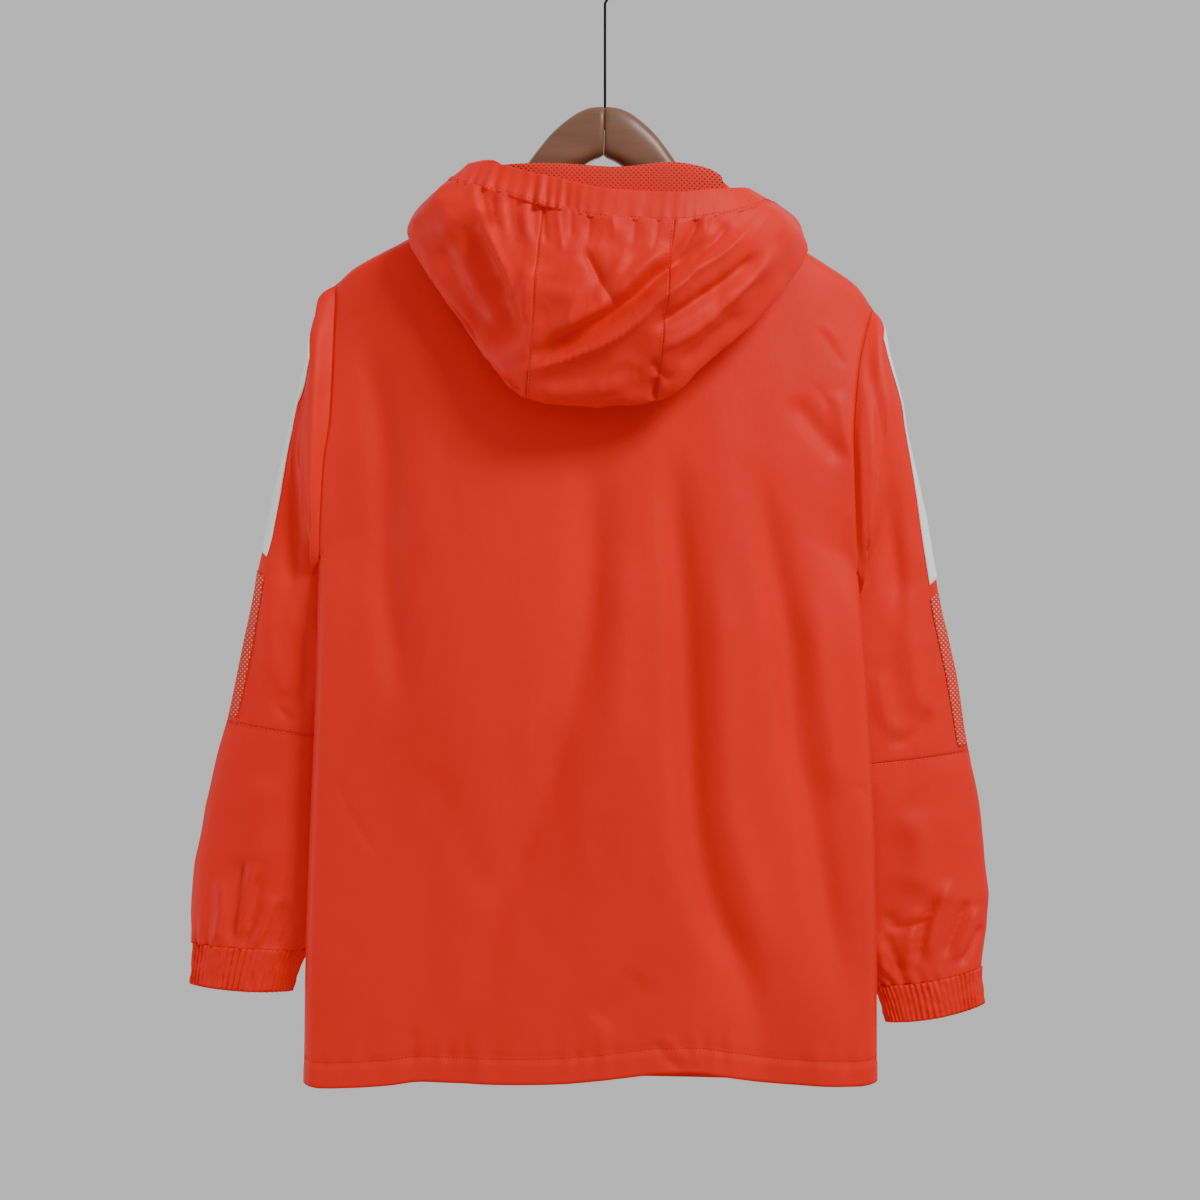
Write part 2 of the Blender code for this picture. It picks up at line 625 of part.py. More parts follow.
def hood_line(w):
    """Six guide points of the hood's cloth from the neck seam to the face edge."""
    knots = column(HOOD_STATIONS, 0)
    top, fold, face = (smooth(knots, column(HOOD_STATIONS, i), w) for i in (1, 2, 3))
    hang = ease((HOOD_HANG[0] - abs(w)) / (HOOD_HANG[0] - HOOD_HANG[1]))
    far = (top + fold) / 2 + np.array((0, HOOD_FAR_BULGE * hang, 0))
    near = (fold + face) / 2 - np.array((0, HOOD_NEAR_BULGE * hang, 0))
    return np.array((neck_point(w), top, far, fold, near, face))


def hood_point(w, t):
    return smooth(HOOD_KNOTS, hood_line(w), t)


def casing_start(w):
    """Where the casing's seam lies along the cloth."""
    line = hood_line(w)
    outer = np.linalg.norm(line[4] - line[3]) + np.linalg.norm(line[5] - line[4])
    return 1 - (1 - HOOD_KNOTS[3]) * min(CASING_WIDTH / outer, CASING_MOST)


def hood_grid(ws, shares):
    """Points of the panels; a share is of the way from the neck to the casing."""
    ends = [casing_start(w) - CASING_GAP for w in ws]
    return np.array([[hood_point(w, HOOD_START + (end - HOOD_START) * share)
                      for w, end in zip(ws, ends)] for share in shares])


def make_hood(red, mesh_mat):
    inner = HOOD_SEAM_W - HOOD_SEAM_GAP_W
    outer = HOOD_SEAM_W + HOOD_SEAM_GAP_W
    centre = np.linspace(-inner, inner, HOOD_CENTRE_COLUMNS)
    side_ws = np.linspace(outer, HOOD_END_W, HOOD_SIDE_COLUMNS)
    shares = np.linspace(0, 1, HOOD_ROWS)
    down = (0, 0, -1)
    cloth("hood_centre", hood_grid(centre, shares), red, facing=down)
    for side, label in SIDES.items():
        cloth("hood_side_" + label, hood_grid(side * side_ws, shares), red, facing=down)
    ends = side_ws[:LINING_COLUMNS]
    lined = np.concatenate((-ends[::-1], centre, ends))
    lining = moved_out(hood_grid(lined, shares[:LINING_ROWS]), -CLOTH - LAY_GAP, facing=down)
    cloth("hood_lining", lining, mesh_mat, LINING_WALL, facing=down)
    make_casing(np.concatenate((-side_ws[::-1], centre, side_ws)), red)


def make_casing(ws, mat):
    """The face edge, folded double and gathered on its cord."""
    starts = [casing_start(w) for w in ws]
    plain = np.array([[hood_point(w, start + (1 - start) * share)
                       for w, start in zip(ws, starts)] for share in (0, 0.5, 1)])
    grid = np.empty((len(plain), 2 * len(ws) - 1, 3))
    grid[:, ::2] = plain
    grid[:, 1::2] = (plain[:, 1:] + plain[:, :-1]) / 2
    drawn = moved_out(grid, -PUCKER_DEPTH, facing=(0, -1, 0))
    grid[:, 1::2] = drawn[:, 1::2]
    cloth("hood_casing", grid, mat, CASING_WALL, facing=(0, -1, 0))


# -------------------------------------------------------------------------- zip

def zip_lines(fronts):
    """The front edges, the zip's middle and lines into each panel, under the cloth."""
    lines = {}
    for side, front in fronts.items():
        face = moved_out(front, -CLOTH - LAY_GAP, facing=(0, 1, 0))
        share = (ZIP_TAPE_OUTER - ZIP_EDGE) / abs(face[-1, -1, 0] - face[-1, -2, 0])
        lines[side] = (face[:, -1], face[:, -1] * (1 - share) + face[:, -2] * share)
    middle = (lines[-1][0] + lines[1][0]) / 2
    return lines, middle


def zip_strip(name, columns, wall, mat):
    """A strip down the front from the zip's top; its columns run the whole front."""
    grid = np.stack(columns, axis=1)
    first = [grid[ZIP_TOP_ROW] * (1 - ZIP_TOP_SHARE) + grid[ZIP_TOP_ROW + 1] * ZIP_TOP_SHARE]
    rows = first + list(grid[ZIP_TOP_ROW + 1:])
    cloth(name, rows, mat, wall, facing=(0, 1, 0))
    return first[0].mean(axis=0), grid[ZIP_TOP_ROW + 1].mean(axis=0)


def box(size, place):
    """A box as a mesh object, for the pieces that Booleans join or cut."""
    bpy.ops.mesh.primitive_cube_add(size=1.0, location=place)
    obj = bpy.context.object
    obj.scale = size
    bpy.ops.object.transform_apply(location=False, rotation=False, scale=True)
    return obj


def move_to(obj, collection):
    for owner in list(obj.users_collection):
        owner.objects.unlink(obj)
    collection.objects.link(obj)


def add_cutter(obj, name):
    obj.name = name
    obj.hide_render = True
    obj.display_type = "WIRE"
    move_to(obj, CUTTERS)
    return obj


def boolean(obj, other, operation):
    change = obj.modifiers.new(other.name, "BOOLEAN")
    change.operation = operation
    change.object = other


def make_slider(place, lean, metal):
    """Two plates round the teeth, a post between them and a bridge for the pull.

    Its origin is in the middle of the teeth. Returns the middle of the bridge."""
    width, plate, length = SLIDER_SIZE
    reach = SLIDER_GAP / 2 + plate / 2
    front = box((width, plate, length), (0, reach, 0))
    bpy.ops.object.transform_apply(location=True)
    front.name = "zip_slider"
    back = box((width, plate, length), (0, -reach, 0))
    post = box((SLIDER_POST[0], SLIDER_GAP + plate, SLIDER_POST[1]), (0, 0, SLIDER_POST_Z))
    face = SLIDER_GAP / 2 + plate
    outer = BRIDGE_HALF + BRIDGE_WALL
    rise = 2 * BRIDGE_HALF + BRIDGE_WALL
    top = box((BRIDGE_WIDTH, BRIDGE_WALL, 2 * outer), (0, face + rise - BRIDGE_WALL / 2, 0))
    legs = [box((BRIDGE_WIDTH, rise + LEG_SUNK, BRIDGE_WALL),
                (0, face + rise / 2 - LEG_SUNK / 2, way * (outer - BRIDGE_WALL / 2)))
            for way in (-1, 1)]
    for index, piece in enumerate([back, post, top] + legs):
        add_cutter(piece, "slider_joined_%d" % index)
        piece.parent = front
        boolean(front, piece, "UNION")
    move_to(front, PARTS)
    front.data.materials.append(metal)
    front.location = place
    front.rotation_euler = (lean, 0, 0)
    return place + Matrix.Rotation(lean, 3, "X") @ Vector((0, face + BRIDGE_HALF, 0))


def make_pull(pivot, metal):
    """The pull tab; its origin is the bar that turns under the bridge."""
    window_width, window_height = PULL_WINDOW
    pull = box((PULL_WIDTH, PULL_WALL, PULL_LENGTH), (0, 0, PULL_BAR - PULL_LENGTH / 2))
    bpy.ops.object.transform_apply(location=True)
    pull.name = "zip_pull"
    window = box((window_width, 4 * PULL_WALL, window_height),
                 (0, 0, -PULL_BAR - window_height / 2))
    add_cutter(window, "pull_window")
    window.parent = pull
    boolean(pull, window, "DIFFERENCE")
    move_to(pull, PARTS)
    pull.data.materials.append(metal)
    pull.location = pivot


def make_zip(fronts, tape_mat, teeth_mat, metal):
    lines, middle = zip_lines(fronts)
    across = np.array((1.0, 0, 0))
    for side, label in SIDES.items():
        edge, outer = lines[side]
        inner = edge * (0, 1, 1) + middle * (1, 0, 0) + side * ZIP_TAPE_INNER * across
        zip_strip("zip_tape_" + label, (inner, edge, outer), ZIP_TAPE_WALL, tape_mat)
    teeth = middle + np.array((0, CHAIN_PROUD, 0))
    columns = (teeth - CHAIN_HALF * across, teeth + CHAIN_HALF * across)
    top, below = zip_strip("zip_chain", columns, CHAIN_WALL, teeth_mat)
    run = Vector(below - top).normalized()
    lean = math.atan2(-run.y, -run.z)
    outward = Matrix.Rotation(-lean, 3, "X") @ Vector((0, 1, 0))
    place = Vector(top) + run * SLIDER_DROP - outward * CHAIN_WALL / 2
    make_pull(make_slider(place, -lean, metal), metal)


# ----------------------------------------------------------------------- hanger

def arm_section(side, row):
    """Rounded section of an arm at one place along it."""
    x, top, under, thick = row
    middle = Vector((side * x, middle_y(x, 0), (top + under) / 2))
    pivot = Vector((0, 0, HANGER_TOP_Z))
    tilt = Matrix.Rotation(HANGER_TILT, 3, "Y")
    ring = []
    for k in range(ARM_SIDES):
        angle = 2 * math.pi * (k + 0.5) / ARM_SIDES
        y = math.copysign(abs(math.cos(angle)) ** ARM_SQUARENESS, math.cos(angle)) * thick / 2
        z = math.copysign(abs(math.sin(angle)) ** ARM_SQUARENESS, math.sin(angle)) * (top - under) / 2
        place = middle + Vector((0, y, z))
        ring.append(tuple(tilt @ (place - pivot) + pivot))
    return ring


def make_arm(side, bore, mat):
    name = "hanger_arm_" + SIDES[side]
    rows = [(max(row[0], ARM_END_GAP),) + row[1:] for row in HANGER_ARM]
    rings = [arm_section(side, row) for row in rows]
    mesh = grid_mesh(name, rings, ring=True)
    bm = bmesh.new()
    bm.from_mesh(mesh)
    bmesh.ops.holes_fill(bm, edges=[e for e in bm.edges if e.is_boundary])
    bmesh.ops.recalc_face_normals(bm, faces=bm.faces[:])
    bm.to_mesh(mesh)
    bm.free()
    arm = add_object(name, mesh, mat)
    boolean(arm, bore, "DIFFERENCE")


def make_bore():
    depth = HANGER_TOP_Z - STEM_FOOT_Z + BORE_SPARE
    bpy.ops.mesh.primitive_cylinder_add(vertices=BORE_SIDES, radius=BORE_RADIUS,
                                        depth=2 * depth, location=(0, 0, HANGER_TOP_Z))
    return add_cutter(bpy.context.object, "stem_bore")


def hook_route():
    """The wire's middle line: up the stem, out to one side and round the bend."""
    radius = HOOK_RADIUS + WIRE_RADIUS
    centre_z = WIRE_RADIUS - radius
    swing = ((0.0, STEM_TOP_Z), (SWING_LOW[0], STEM_TOP_Z + SWING_LOW[1]),
             (radius - SWING_HIGH[0], centre_z - SWING_HIGH[1]), (radius, centre_z))
    points = [(0.0, STEM_FOOT_Z), (0.0, (STEM_FOOT_Z + STEM_TOP_Z) / 2)]
    points += [tuple(smooth(SWING_KNOTS, swing, f)) for f in np.linspace(0, 1, SWING_STEPS)[:-1]]
    for degrees in np.linspace(0, HOOK_TIP_ANGLE, HOOK_STEPS):
        angle = math.radians(degrees)
        points.append((radius * math.cos(angle), centre_z + radius * math.sin(angle)))
    return points


def make_hook(mat):
    curve = bpy.data.curves.new("hanger_hook", "CURVE")
    curve.dimensions = "3D"
    curve.bevel_depth = WIRE_RADIUS
    curve.bevel_resolution = 2
    curve.use_fill_caps = True
    route = hook_route()
    line = curve.splines.new("POLY")
    line.points.add(len(route) - 1)
    for point, (x, z) in zip(line.points, route):
        point.co = (x, 0, z, 1)
    curve.materials.append(mat)
    PARTS.objects.link(bpy.data.objects.new("hanger_hook", curve))


# --------------------------------------------------------------------- assembly

def clear_scene():
    for obj in list(bpy.data.objects):
        bpy.data.objects.remove(obj, do_unlink=True)


def main():
    red = material("red_nylon", RED, 0.5)
    white = material("white_tape", WHITE, 0.6)
    pink = material("sleeve_mesh", PINK, 0.7)
    lining = material("lining_mesh", DEEP_RED, 0.7)
    wood = material("brown_wood", WOOD, 0.4)
    black = material("black_wire", BLACK, 0.35, 1.0)
    teeth = material("red_teeth", DEEP_RED, 0.45)
    steel = material("slider_metal", STEEL, 0.3, 1.0)
    bore = make_bore()
    fronts = make_body(red)
    for side in SIDES:
        make_sleeve(side, red, white, pink)
        make_arm(side, bore, wood)
    make_hood(red, lining)
    make_zip(fronts, red, teeth, steel)
    make_hook(black)


clear_scene()
PARTS = bpy.data.collections.new("hooded_windbreaker")
CUTTERS = bpy.data.collections.new("cutters")
for collection in (PARTS, CUTTERS):
    bpy.context.scene.collection.children.link(collection)
main()
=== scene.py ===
# %% [markdown]
# # A hooded windbreaker on its hanger
# This lesson dresses a plain model of a thin nylon jacket. The plain model already has every
# panel in its right place and size. Here each panel becomes cloth with folds, seams, stitches
# and a woven finish, the hanger becomes stained wood, and the zip gets its teeth.
#
# Everything is in metres, with +Z up. The origin is the inside top of the hanger's hook. The
# jacket's back faces -Y, towards the camera, and its zipped front faces +Y. The wearer's left
# is at -X.

# %% Load the plain model
import math
import bpy
import bmesh
import numpy as np
from mathutils import Matrix, Vector, noise


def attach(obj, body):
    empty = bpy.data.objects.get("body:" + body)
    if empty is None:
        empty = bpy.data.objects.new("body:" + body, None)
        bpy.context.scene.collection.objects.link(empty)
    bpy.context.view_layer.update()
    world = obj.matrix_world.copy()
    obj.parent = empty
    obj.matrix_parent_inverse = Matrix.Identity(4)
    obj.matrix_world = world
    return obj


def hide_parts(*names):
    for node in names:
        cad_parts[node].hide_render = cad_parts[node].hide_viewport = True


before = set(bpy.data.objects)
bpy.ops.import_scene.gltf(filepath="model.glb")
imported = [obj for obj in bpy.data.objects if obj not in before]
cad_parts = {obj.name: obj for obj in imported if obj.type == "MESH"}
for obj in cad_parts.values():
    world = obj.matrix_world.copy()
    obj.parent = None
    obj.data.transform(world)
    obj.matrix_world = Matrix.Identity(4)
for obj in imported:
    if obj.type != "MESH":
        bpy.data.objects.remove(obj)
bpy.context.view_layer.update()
JACKET = "jacket_and_hanger"
PULL = "pull_tab"
SIDES = {-1: "left", 1: "right"}

# %% [markdown]
# ## The camera
# The photograph was taken from straight behind the jacket, from a little over two metres away.
# A long lens keeps the shoulders and the hem at their true proportions. The picture is square,
# so the lens follows from how wide a strip of the jacket's plane it takes in.

# %% Place the camera
DISTANCE = 2.2             # from the camera to the plane of the hanger
SEEN_WIDTH = 1.044         # of that plane, from edge to edge of the picture
SENSOR = 36.0              # millimetres
PICTURE_MIDDLE = (-0.00435, -0.5789)    # x and z of the place that it is aimed at
camera_data = bpy.data.cameras.new("camera")
camera_data.sensor_width = SENSOR
camera_data.lens = SENSOR * DISTANCE / SEEN_WIDTH
camera = bpy.data.objects.new("camera", camera_data)
camera.location = (PICTURE_MIDDLE[0], -DISTANCE, PICTURE_MIDDLE[1])
camera.rotation_euler = (math.pi / 2, 0, 0)
bpy.context.scene.collection.objects.link(camera)
bpy.context.scene.camera = camera
print("lens: %.1f mm" % camera_data.lens)

# %% [markdown]
# ## Smooth curves through a few values
# A tailor marks a few points and draws a curve through them. `smooth` does the same: it goes
# through the values at its knots without swinging past them, which a plain spline would do.
# `ease` starts and ends gently, and `arc` is a quarter of a circle.

# %% Curve helpers
def slopes_at(knots, values):
    """Slopes that carry a curve through its values without overshooting them."""
    steps = np.diff(knots).reshape((-1,) + (1,) * (values.ndim - 1))
    rises = np.diff(values, axis=0) / steps
    before, after = rises[:-1], rises[1:]
    same_way = before * after > 0
    total = np.where(same_way, before + after, 1.0)
    inner = np.where(same_way, 2 * before * after / total, 0.0)
    return np.concatenate((rises[:1], inner, rises[-1:]))


def smooth(knots, values, at):
    """A smooth curve through the values at the knots, read at one place."""
    knots = np.asarray(knots, float)
    values = np.asarray(values, float)
    slopes = slopes_at(knots, values)
    at = min(max(at, knots[0]), knots[-1])
    k = min(int(np.searchsorted(knots, at, side="right")) - 1, len(knots) - 2)
    span = knots[k + 1] - knots[k]
    f = (at - knots[k]) / span
    start = (1 + 2 * f) * (1 - f) ** 2 * values[k] + f * (1 - f) ** 2 * span * slopes[k]
    end = f * f * (3 - 2 * f) * values[k + 1] + f * f * (f - 1) * span * slopes[k + 1]
    return start + end


def column(table, index):
    return [row[index] for row in table]


def looked_up(table, at, index=1):
    """A smooth curve through one column of a table whose first column holds the knots."""
    return smooth(column(table, 0), column(table, index), at)


def distances(line):
    """How far each point of a line lies from its start, along the line."""
    steps = np.linalg.norm(np.diff(line, axis=0), axis=1)
    return np.concatenate(((0,), np.cumsum(steps)))


def length_of(line):
    return float(distances(line)[-1])


def ease(f):
    f = np.clip(f, 0.0, 1.0)
    return f * f * (3 - 2 * f)


def arc(f):
    """Quarter circle: rises straight up at 0 and is level at 1."""
    f = min(max(f, 0.0), 1.0)
    return math.sqrt(1 - (1 - f) ** 2)


print("halfway up a gentle start:", ease(0.5))

# %% [markdown]
# ## Cloth as a grid of points
# Woven cloth is a grid of threads, so a grid of points is a natural way to model it. A panel is
# first worked out at a few rows and columns, then `refine` fills in the points between them.
# `lifted` moves points off the surface by their own heights, which is how folds are raised.

# %% Grid helpers
def refine(grid, rows, cols, row_knots=None, col_knots=None, ring=False):
    """The same surface with many more rows and columns of points."""
    grid = np.asarray(grid, float)
    if ring:
        grid = np.concatenate((grid[:, -2:], grid, grid[:, :3]), axis=1)
    down = np.arange(len(grid)) if row_knots is None else np.asarray(row_knots, float)
    over = np.arange(grid.shape[1]) if col_knots is None else np.asarray(col_knots, float)
    grid = np.array([smooth(down, grid, at) for at in np.linspace(down[0], down[-1], rows)])
    first, last = (2, len(over) - 3) if ring else (over[0], over[-1])
    places = np.linspace(first, last, cols + 1)[:-1] if ring else np.linspace(first, last, cols)
    turned = grid.transpose(1, 0, 2)
    return np.array([smooth(over, turned, at) for at in places]).transpose(1, 0, 2)


def gradients(points, ring=False):
    """How a grid's points change down it and across it."""
    if not ring:
        return np.gradient(points, axis=0), np.gradient(points, axis=1)
    closed = np.concatenate((points[:, -1:], points, points[:, :1]), axis=1)
    return np.gradient(points, axis=0), np.gradient(closed, axis=1)[:, 1:-1]


def normals_of(points, ring=False, facing=None):
    """Outward normals of a grid: away from a tube's middle, or along facing."""
    down, across = gradients(points, ring)
    normals = np.cross(down, across)
    normals /= np.maximum(np.linalg.norm(normals, axis=2, keepdims=True), 1e-12)
    away = points - points.mean(axis=1, keepdims=True) if facing is None else np.array(facing)
    return normals if (normals * away).sum() > 0 else -normals


def lifted(points, heights, ring=False, facing=None):
    """The grid with each point moved along its normal by its own height."""
    return points + normals_of(points, ring, facing) * np.asarray(heights)[..., None]


def away_from_end(grid, at_start=False):
    """Distance of each row of a grid from its last row, or from its first."""
    steps = np.linalg.norm(np.diff(grid, axis=0), axis=2).mean(axis=1)
    along = np.concatenate(((0,), np.cumsum(steps)))
    return along if at_start else along[-1] - along


def smooth_mesh(name, verts, faces):
    mesh = bpy.data.meshes.new(name)
    mesh.from_pydata(verts, [], faces)
    mesh.shade_smooth()
    return mesh


def grid_mesh(name, points, ring=False, facing=None):
    """A mesh of quads through the points, with its faces looking outward."""
    rows, cols = points.shape[:2]
    number = np.arange(rows * cols).reshape(rows, cols)
    beside = np.roll(number, -1, axis=1) if ring else number[:, 1:]
    here = number if ring else number[:, :-1]
    quads = np.stack((here[:-1], beside[:-1], beside[1:], here[1:]), axis=-1).reshape(-1, 4)
    normals = normals_of(points, ring, facing)
    a, b, d = points[0, 0], points[0, 1], points[1, 0]
    if np.dot(np.cross(b - a, d - b), normals[0, 0]) < 0:
        quads = quads[:, ::-1]
    return smooth_mesh(name, points.reshape(-1, 3).tolist(), quads.tolist())


def closed_row(points, ring):
    """The grid with a tube's first column again at its end."""
    return np.concatenate((points, points[:, :1]), axis=1) if ring else points


def cut_size(points, ring=False):
    """Width and length of the flat piece of cloth that a grid is made of."""
    width = np.mean([length_of(row) for row in closed_row(points, ring)])
    length = np.mean([length_of(line) for line in points.transpose(1, 0, 2)])
    return round(float(width), 3), round(float(length), 3)


print("refining 2 x 2 points gives", refine(np.zeros((2, 2, 3)), 5, 5).shape[:2])

# %% [markdown]
# ## Building one piece of cloth
# Nylon shell cloth is about a tenth of a millimetre thick. A grid alone has no thickness and
# would look like paper at its edges, so Solidify gives each panel a thin wall on its inner
# side. Each panel stands for one plain piece and moves with it.

# %% Piece helpers
SHELL = 0.0007             # wall of a visible panel


def add_piece(name, mesh, finish, body=JACKET):
    """A mesh as an object that moves with a body of the model."""
    obj = bpy.data.objects.new(name, mesh)
    bpy.context.scene.collection.objects.link(obj)
    obj.data.materials.append(finish)
    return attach(obj, body)


def hard_piece(name, mesh, finish, node, body=JACKET):
    """A hard piece that stands for one plain piece."""
    piece = add_piece(name, mesh, finish, body)
    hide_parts(node)
    return piece


def cloth(node, points, finish, wall=SHELL, ring=False, facing=None, outward=False):
    """The visible panel that stands for one plain panel."""
    piece = add_piece(node + "_cloth", grid_mesh(node, points, ring, facing), finish)
    solid = piece.modifiers.new("wall", "SOLIDIFY")
    solid.thickness = wall
    solid.offset = 1.0 if outward else -1.0
    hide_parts(node)
    size = cut_size(points, ring)
    return piece

# %% [markdown]
# ## Woven nylon
# The jacket is a plain-woven nylon taffeta: matte to the touch, with a satin gleam where it
# turns. Its colour comes mostly from the shader's base colour, broken up by a slow noise, as
# dyed cloth never is one flat colour. Two crossed sets of bands give the weave, a finer noise
# the small dents that thin cloth keeps from being folded. Both only tilt the light as bump.

# %% Material helpers
def finish_nodes(name, colour, roughness, metallic=0.0):
    """A new material with its shader, its nodes and its links."""
    finish = bpy.data.materials.new(name)
    finish.use_nodes = True
    nodes, links = finish.node_tree.nodes, finish.node_tree.links
    shader = nodes["Principled BSDF"]
    shader.inputs["Base Color"].default_value = (*colour, 1.0)
    shader.inputs["Roughness"].default_value = roughness
    shader.inputs["Metallic"].default_value = metallic
    return finish, nodes, links, shader


def coordinates(nodes, links, scale=(1, 1, 1), turn=(0, 0, 0)):
    """Places on the object in metres, stretched and turned for a texture."""
    place = nodes.new("ShaderNodeTexCoord")
    mapping = nodes.new("ShaderNodeMapping")
    mapping.inputs["Scale"].default_value = scale
    mapping.inputs["Rotation"].default_value = turn
    links.new(place.outputs["Object"], mapping.inputs["Vector"])
    return mapping.outputs["Vector"]


def noise_of(nodes, links, vector, scale, detail=3.0, roughness=0.5):
    texture = nodes.new("ShaderNodeTexNoise")
    texture.inputs["Scale"].default_value = scale
    texture.inputs["Detail"].default_value = detail
    texture.inputs["Roughness"].default_value = roughness
    links.new(vector, texture.inputs["Vector"])
    return texture.outputs["Fac"]


def bands_of(nodes, links, vector, scale, direction):
    texture = nodes.new("ShaderNodeTexWave")
    texture.bands_direction = direction
    texture.inputs["Scale"].default_value = scale
    links.new(vector, texture.inputs["Vector"])
    return texture.outputs["Fac"]


def math_of(nodes, links, operation, first, second):
    node = nodes.new("ShaderNodeMath")
    node.operation = operation
    for socket, value in zip(node.inputs, (first, second)):
        if isinstance(value, (int, float)):
            socket.default_value = value
        else:
            links.new(value, socket)
    return node.outputs["Value"]


def ramp_of(nodes, links, value, stops):
    """A colour ramp; each stop is a position and a colour."""
    ramp = nodes.new("ShaderNodeValToRGB")
    elements = ramp.color_ramp.elements
    while len(elements) < len(stops):
        elements.new(0.5)
    for element, (position, colour) in zip(elements, stops):
        element.position = position
        element.color = (*colour, 1.0)
    links.new(value, ramp.inputs["Fac"])
    return ramp.outputs["Color"]


def bump_of(nodes, links, height, distance, strength=1.0, before=None):
    bump = nodes.new("ShaderNodeBump")
    bump.inputs["Strength"].default_value = strength
    bump.inputs["Distance"].default_value = distance
    links.new(height, bump.inputs["Height"])
    if before is not None:
        links.new(before, bump.inputs["Normal"])
    return bump.outputs["Normal"]


def shades_of(colour, shades):
    """Stops of a ramp, from positions and the share of the colour at each."""
    return [(position, [channel * share for channel in colour]) for position, share in shades]


# %% [markdown]
# The same red serves the shell and the drawn-up pieces. Cloth that is gathered keeps more
# small dents, so the second finish has deeper ones.

# %% The nylon finish
NYLON_RED = (0.840, 0.011, 0.003)
NYLON_SHADES = ((0.30, 0.93), (0.50, 1.00), (0.72, 1.05))   # of the slow noise, of the red
NYLON_ROUGHNESS = 0.46
UNEVEN_ROUGHNESS = 0.14    # most that the noise adds to it
PATCH_SCALE = 7.0
SHINE_SCALE = 40.0
DENT_SCALE = 26.0
DENT_HEIGHT = 0.0026
THREADS = 420.0            # bands of the weave in a metre, as the wave texture counts them
THREAD_HEIGHT = 0.00006


def nylon(name, wrinkles=1.0):
    finish, nodes, links, shader = finish_nodes(name, NYLON_RED, NYLON_ROUGHNESS)
    place = coordinates(nodes, links)
    patches = noise_of(nodes, links, coordinates(nodes, links, (1, 1, 0.45)), PATCH_SCALE)
    links.new(ramp_of(nodes, links, patches, shades_of(NYLON_RED, NYLON_SHADES)),
              shader.inputs["Base Color"])
    shine = noise_of(nodes, links, place, SHINE_SCALE)
    uneven = math_of(nodes, links, "MULTIPLY", shine, UNEVEN_ROUGHNESS)
    links.new(math_of(nodes, links, "ADD", uneven, NYLON_ROUGHNESS), shader.inputs["Roughness"])
    shader.inputs["Specular IOR Level"].default_value = 0.20
    shader.inputs["Sheen Weight"].default_value = 0.03
    shader.inputs["Sheen Roughness"].default_value = 0.40
    weave = math_of(nodes, links, "ADD", bands_of(nodes, links, place, THREADS, "X"),
                    bands_of(nodes, links, place, THREADS, "Z"))
    woven = bump_of(nodes, links, weave, THREAD_HEIGHT, 0.35)
    dents = noise_of(nodes, links, coordinates(nodes, links, (1, 1, 0.6)), DENT_SCALE, 4.0, 0.55)
    dented = bump_of(nodes, links, dents, DENT_HEIGHT * wrinkles, 0.55, woven)
    links.new(dented, shader.inputs["Normal"])
    return finish


shell_nylon = nylon("red_nylon_shell")
drawn_nylon = nylon("red_nylon_drawn_up", wrinkles=1.6)
print("nylon finishes made")

# %% [markdown]
# ## Mesh, tape and thread
# The hood's lining is a soft knitted mesh whose holes show as a grid of dark dots. The grid is
# the mesh's own, but the dots' near black is painted shade: it stands for the dim cloth seen
# through the holes. The sleeve strips are a perforated mesh with pale dots on red. In both, a
# Voronoi texture with no randomness gives evenly spaced dots. The white tape is a ribbed woven
# tape, and the thread is the red of the cloth, a little darker in its own shade.

# %% Mesh, tape and thread finishes
DOT_SQUEEZE = (1, 0.02, 1)     # the dots go straight through the cloth
DOT_TURN = (0, math.pi / 4, 0)
DOT_EDGE = 0.10                # how softly a dot ends
TAPE_SHADES = ((0.3, 0.95), (0.7, 1.00))
RIB_HEIGHT = 0.0002


def dots_of(nodes, links, vector, scale):
    """Distance to the nearest dot of an even grid."""
    texture = nodes.new("ShaderNodeTexVoronoi")
    texture.inputs["Scale"].default_value = scale
    texture.inputs["Randomness"].default_value = 0.0
    links.new(vector, texture.inputs["Vector"])
    return texture.outputs["Distance"]


def dotted(name, ground, dot, scale, size, depth):
    """Cloth with a dot of another colour at each place of the grid."""
    finish, nodes, links, shader = finish_nodes(name, ground, 0.72)
    place = coordinates(nodes, links, DOT_SQUEEZE, DOT_TURN)
    distance = dots_of(nodes, links, place, scale)
    links.new(ramp_of(nodes, links, distance, ((size, dot), (size + DOT_EDGE, ground))),
              shader.inputs["Base Color"])
    shader.inputs["Sheen Weight"].default_value = 0.04
    shader.inputs["Specular IOR Level"].default_value = 0.25
    links.new(bump_of(nodes, links, distance, depth, 0.7), shader.inputs["Normal"])
    return finish


def ribbed(name, colour, scale, roughness=0.7):
    """Woven tape with fine ribs across it."""
    finish, nodes, links, shader = finish_nodes(name, colour, roughness)
    ribs = bands_of(nodes, links, coordinates(nodes, links), scale, "Z")
    soil = noise_of(nodes, links, coordinates(nodes, links), 18.0)
    links.new(ramp_of(nodes, links, soil, shades_of(colour, TAPE_SHADES)),
              shader.inputs["Base Color"])
    links.new(bump_of(nodes, links, ribs, RIB_HEIGHT, 0.6), shader.inputs["Normal"])
    return finish


# The lining's near-black dots are painted shade: they stand for the shaded cloth seen through its
# holes.
lining_mesh = dotted("hood_lining_mesh", (0.80, 0.020, 0.008), (0.09, 0.003, 0.002),
                     325.0, 0.31, 0.0005)
sleeve_mesh = dotted("sleeve_strip_mesh", (0.70, 0.030, 0.014), (0.88, 0.52, 0.42),
                     335.0, 0.19, 0.0003)
white_tape = ribbed("white_woven_tape", (0.96, 0.96, 0.95), 260.0)
zip_tape = ribbed("red_zip_tape", (0.56, 0.020, 0.009), 300.0)
thread = ribbed("red_thread", (0.60, 0.018, 0.007), 900.0, 0.55)
print("mesh, tape and thread finishes made")

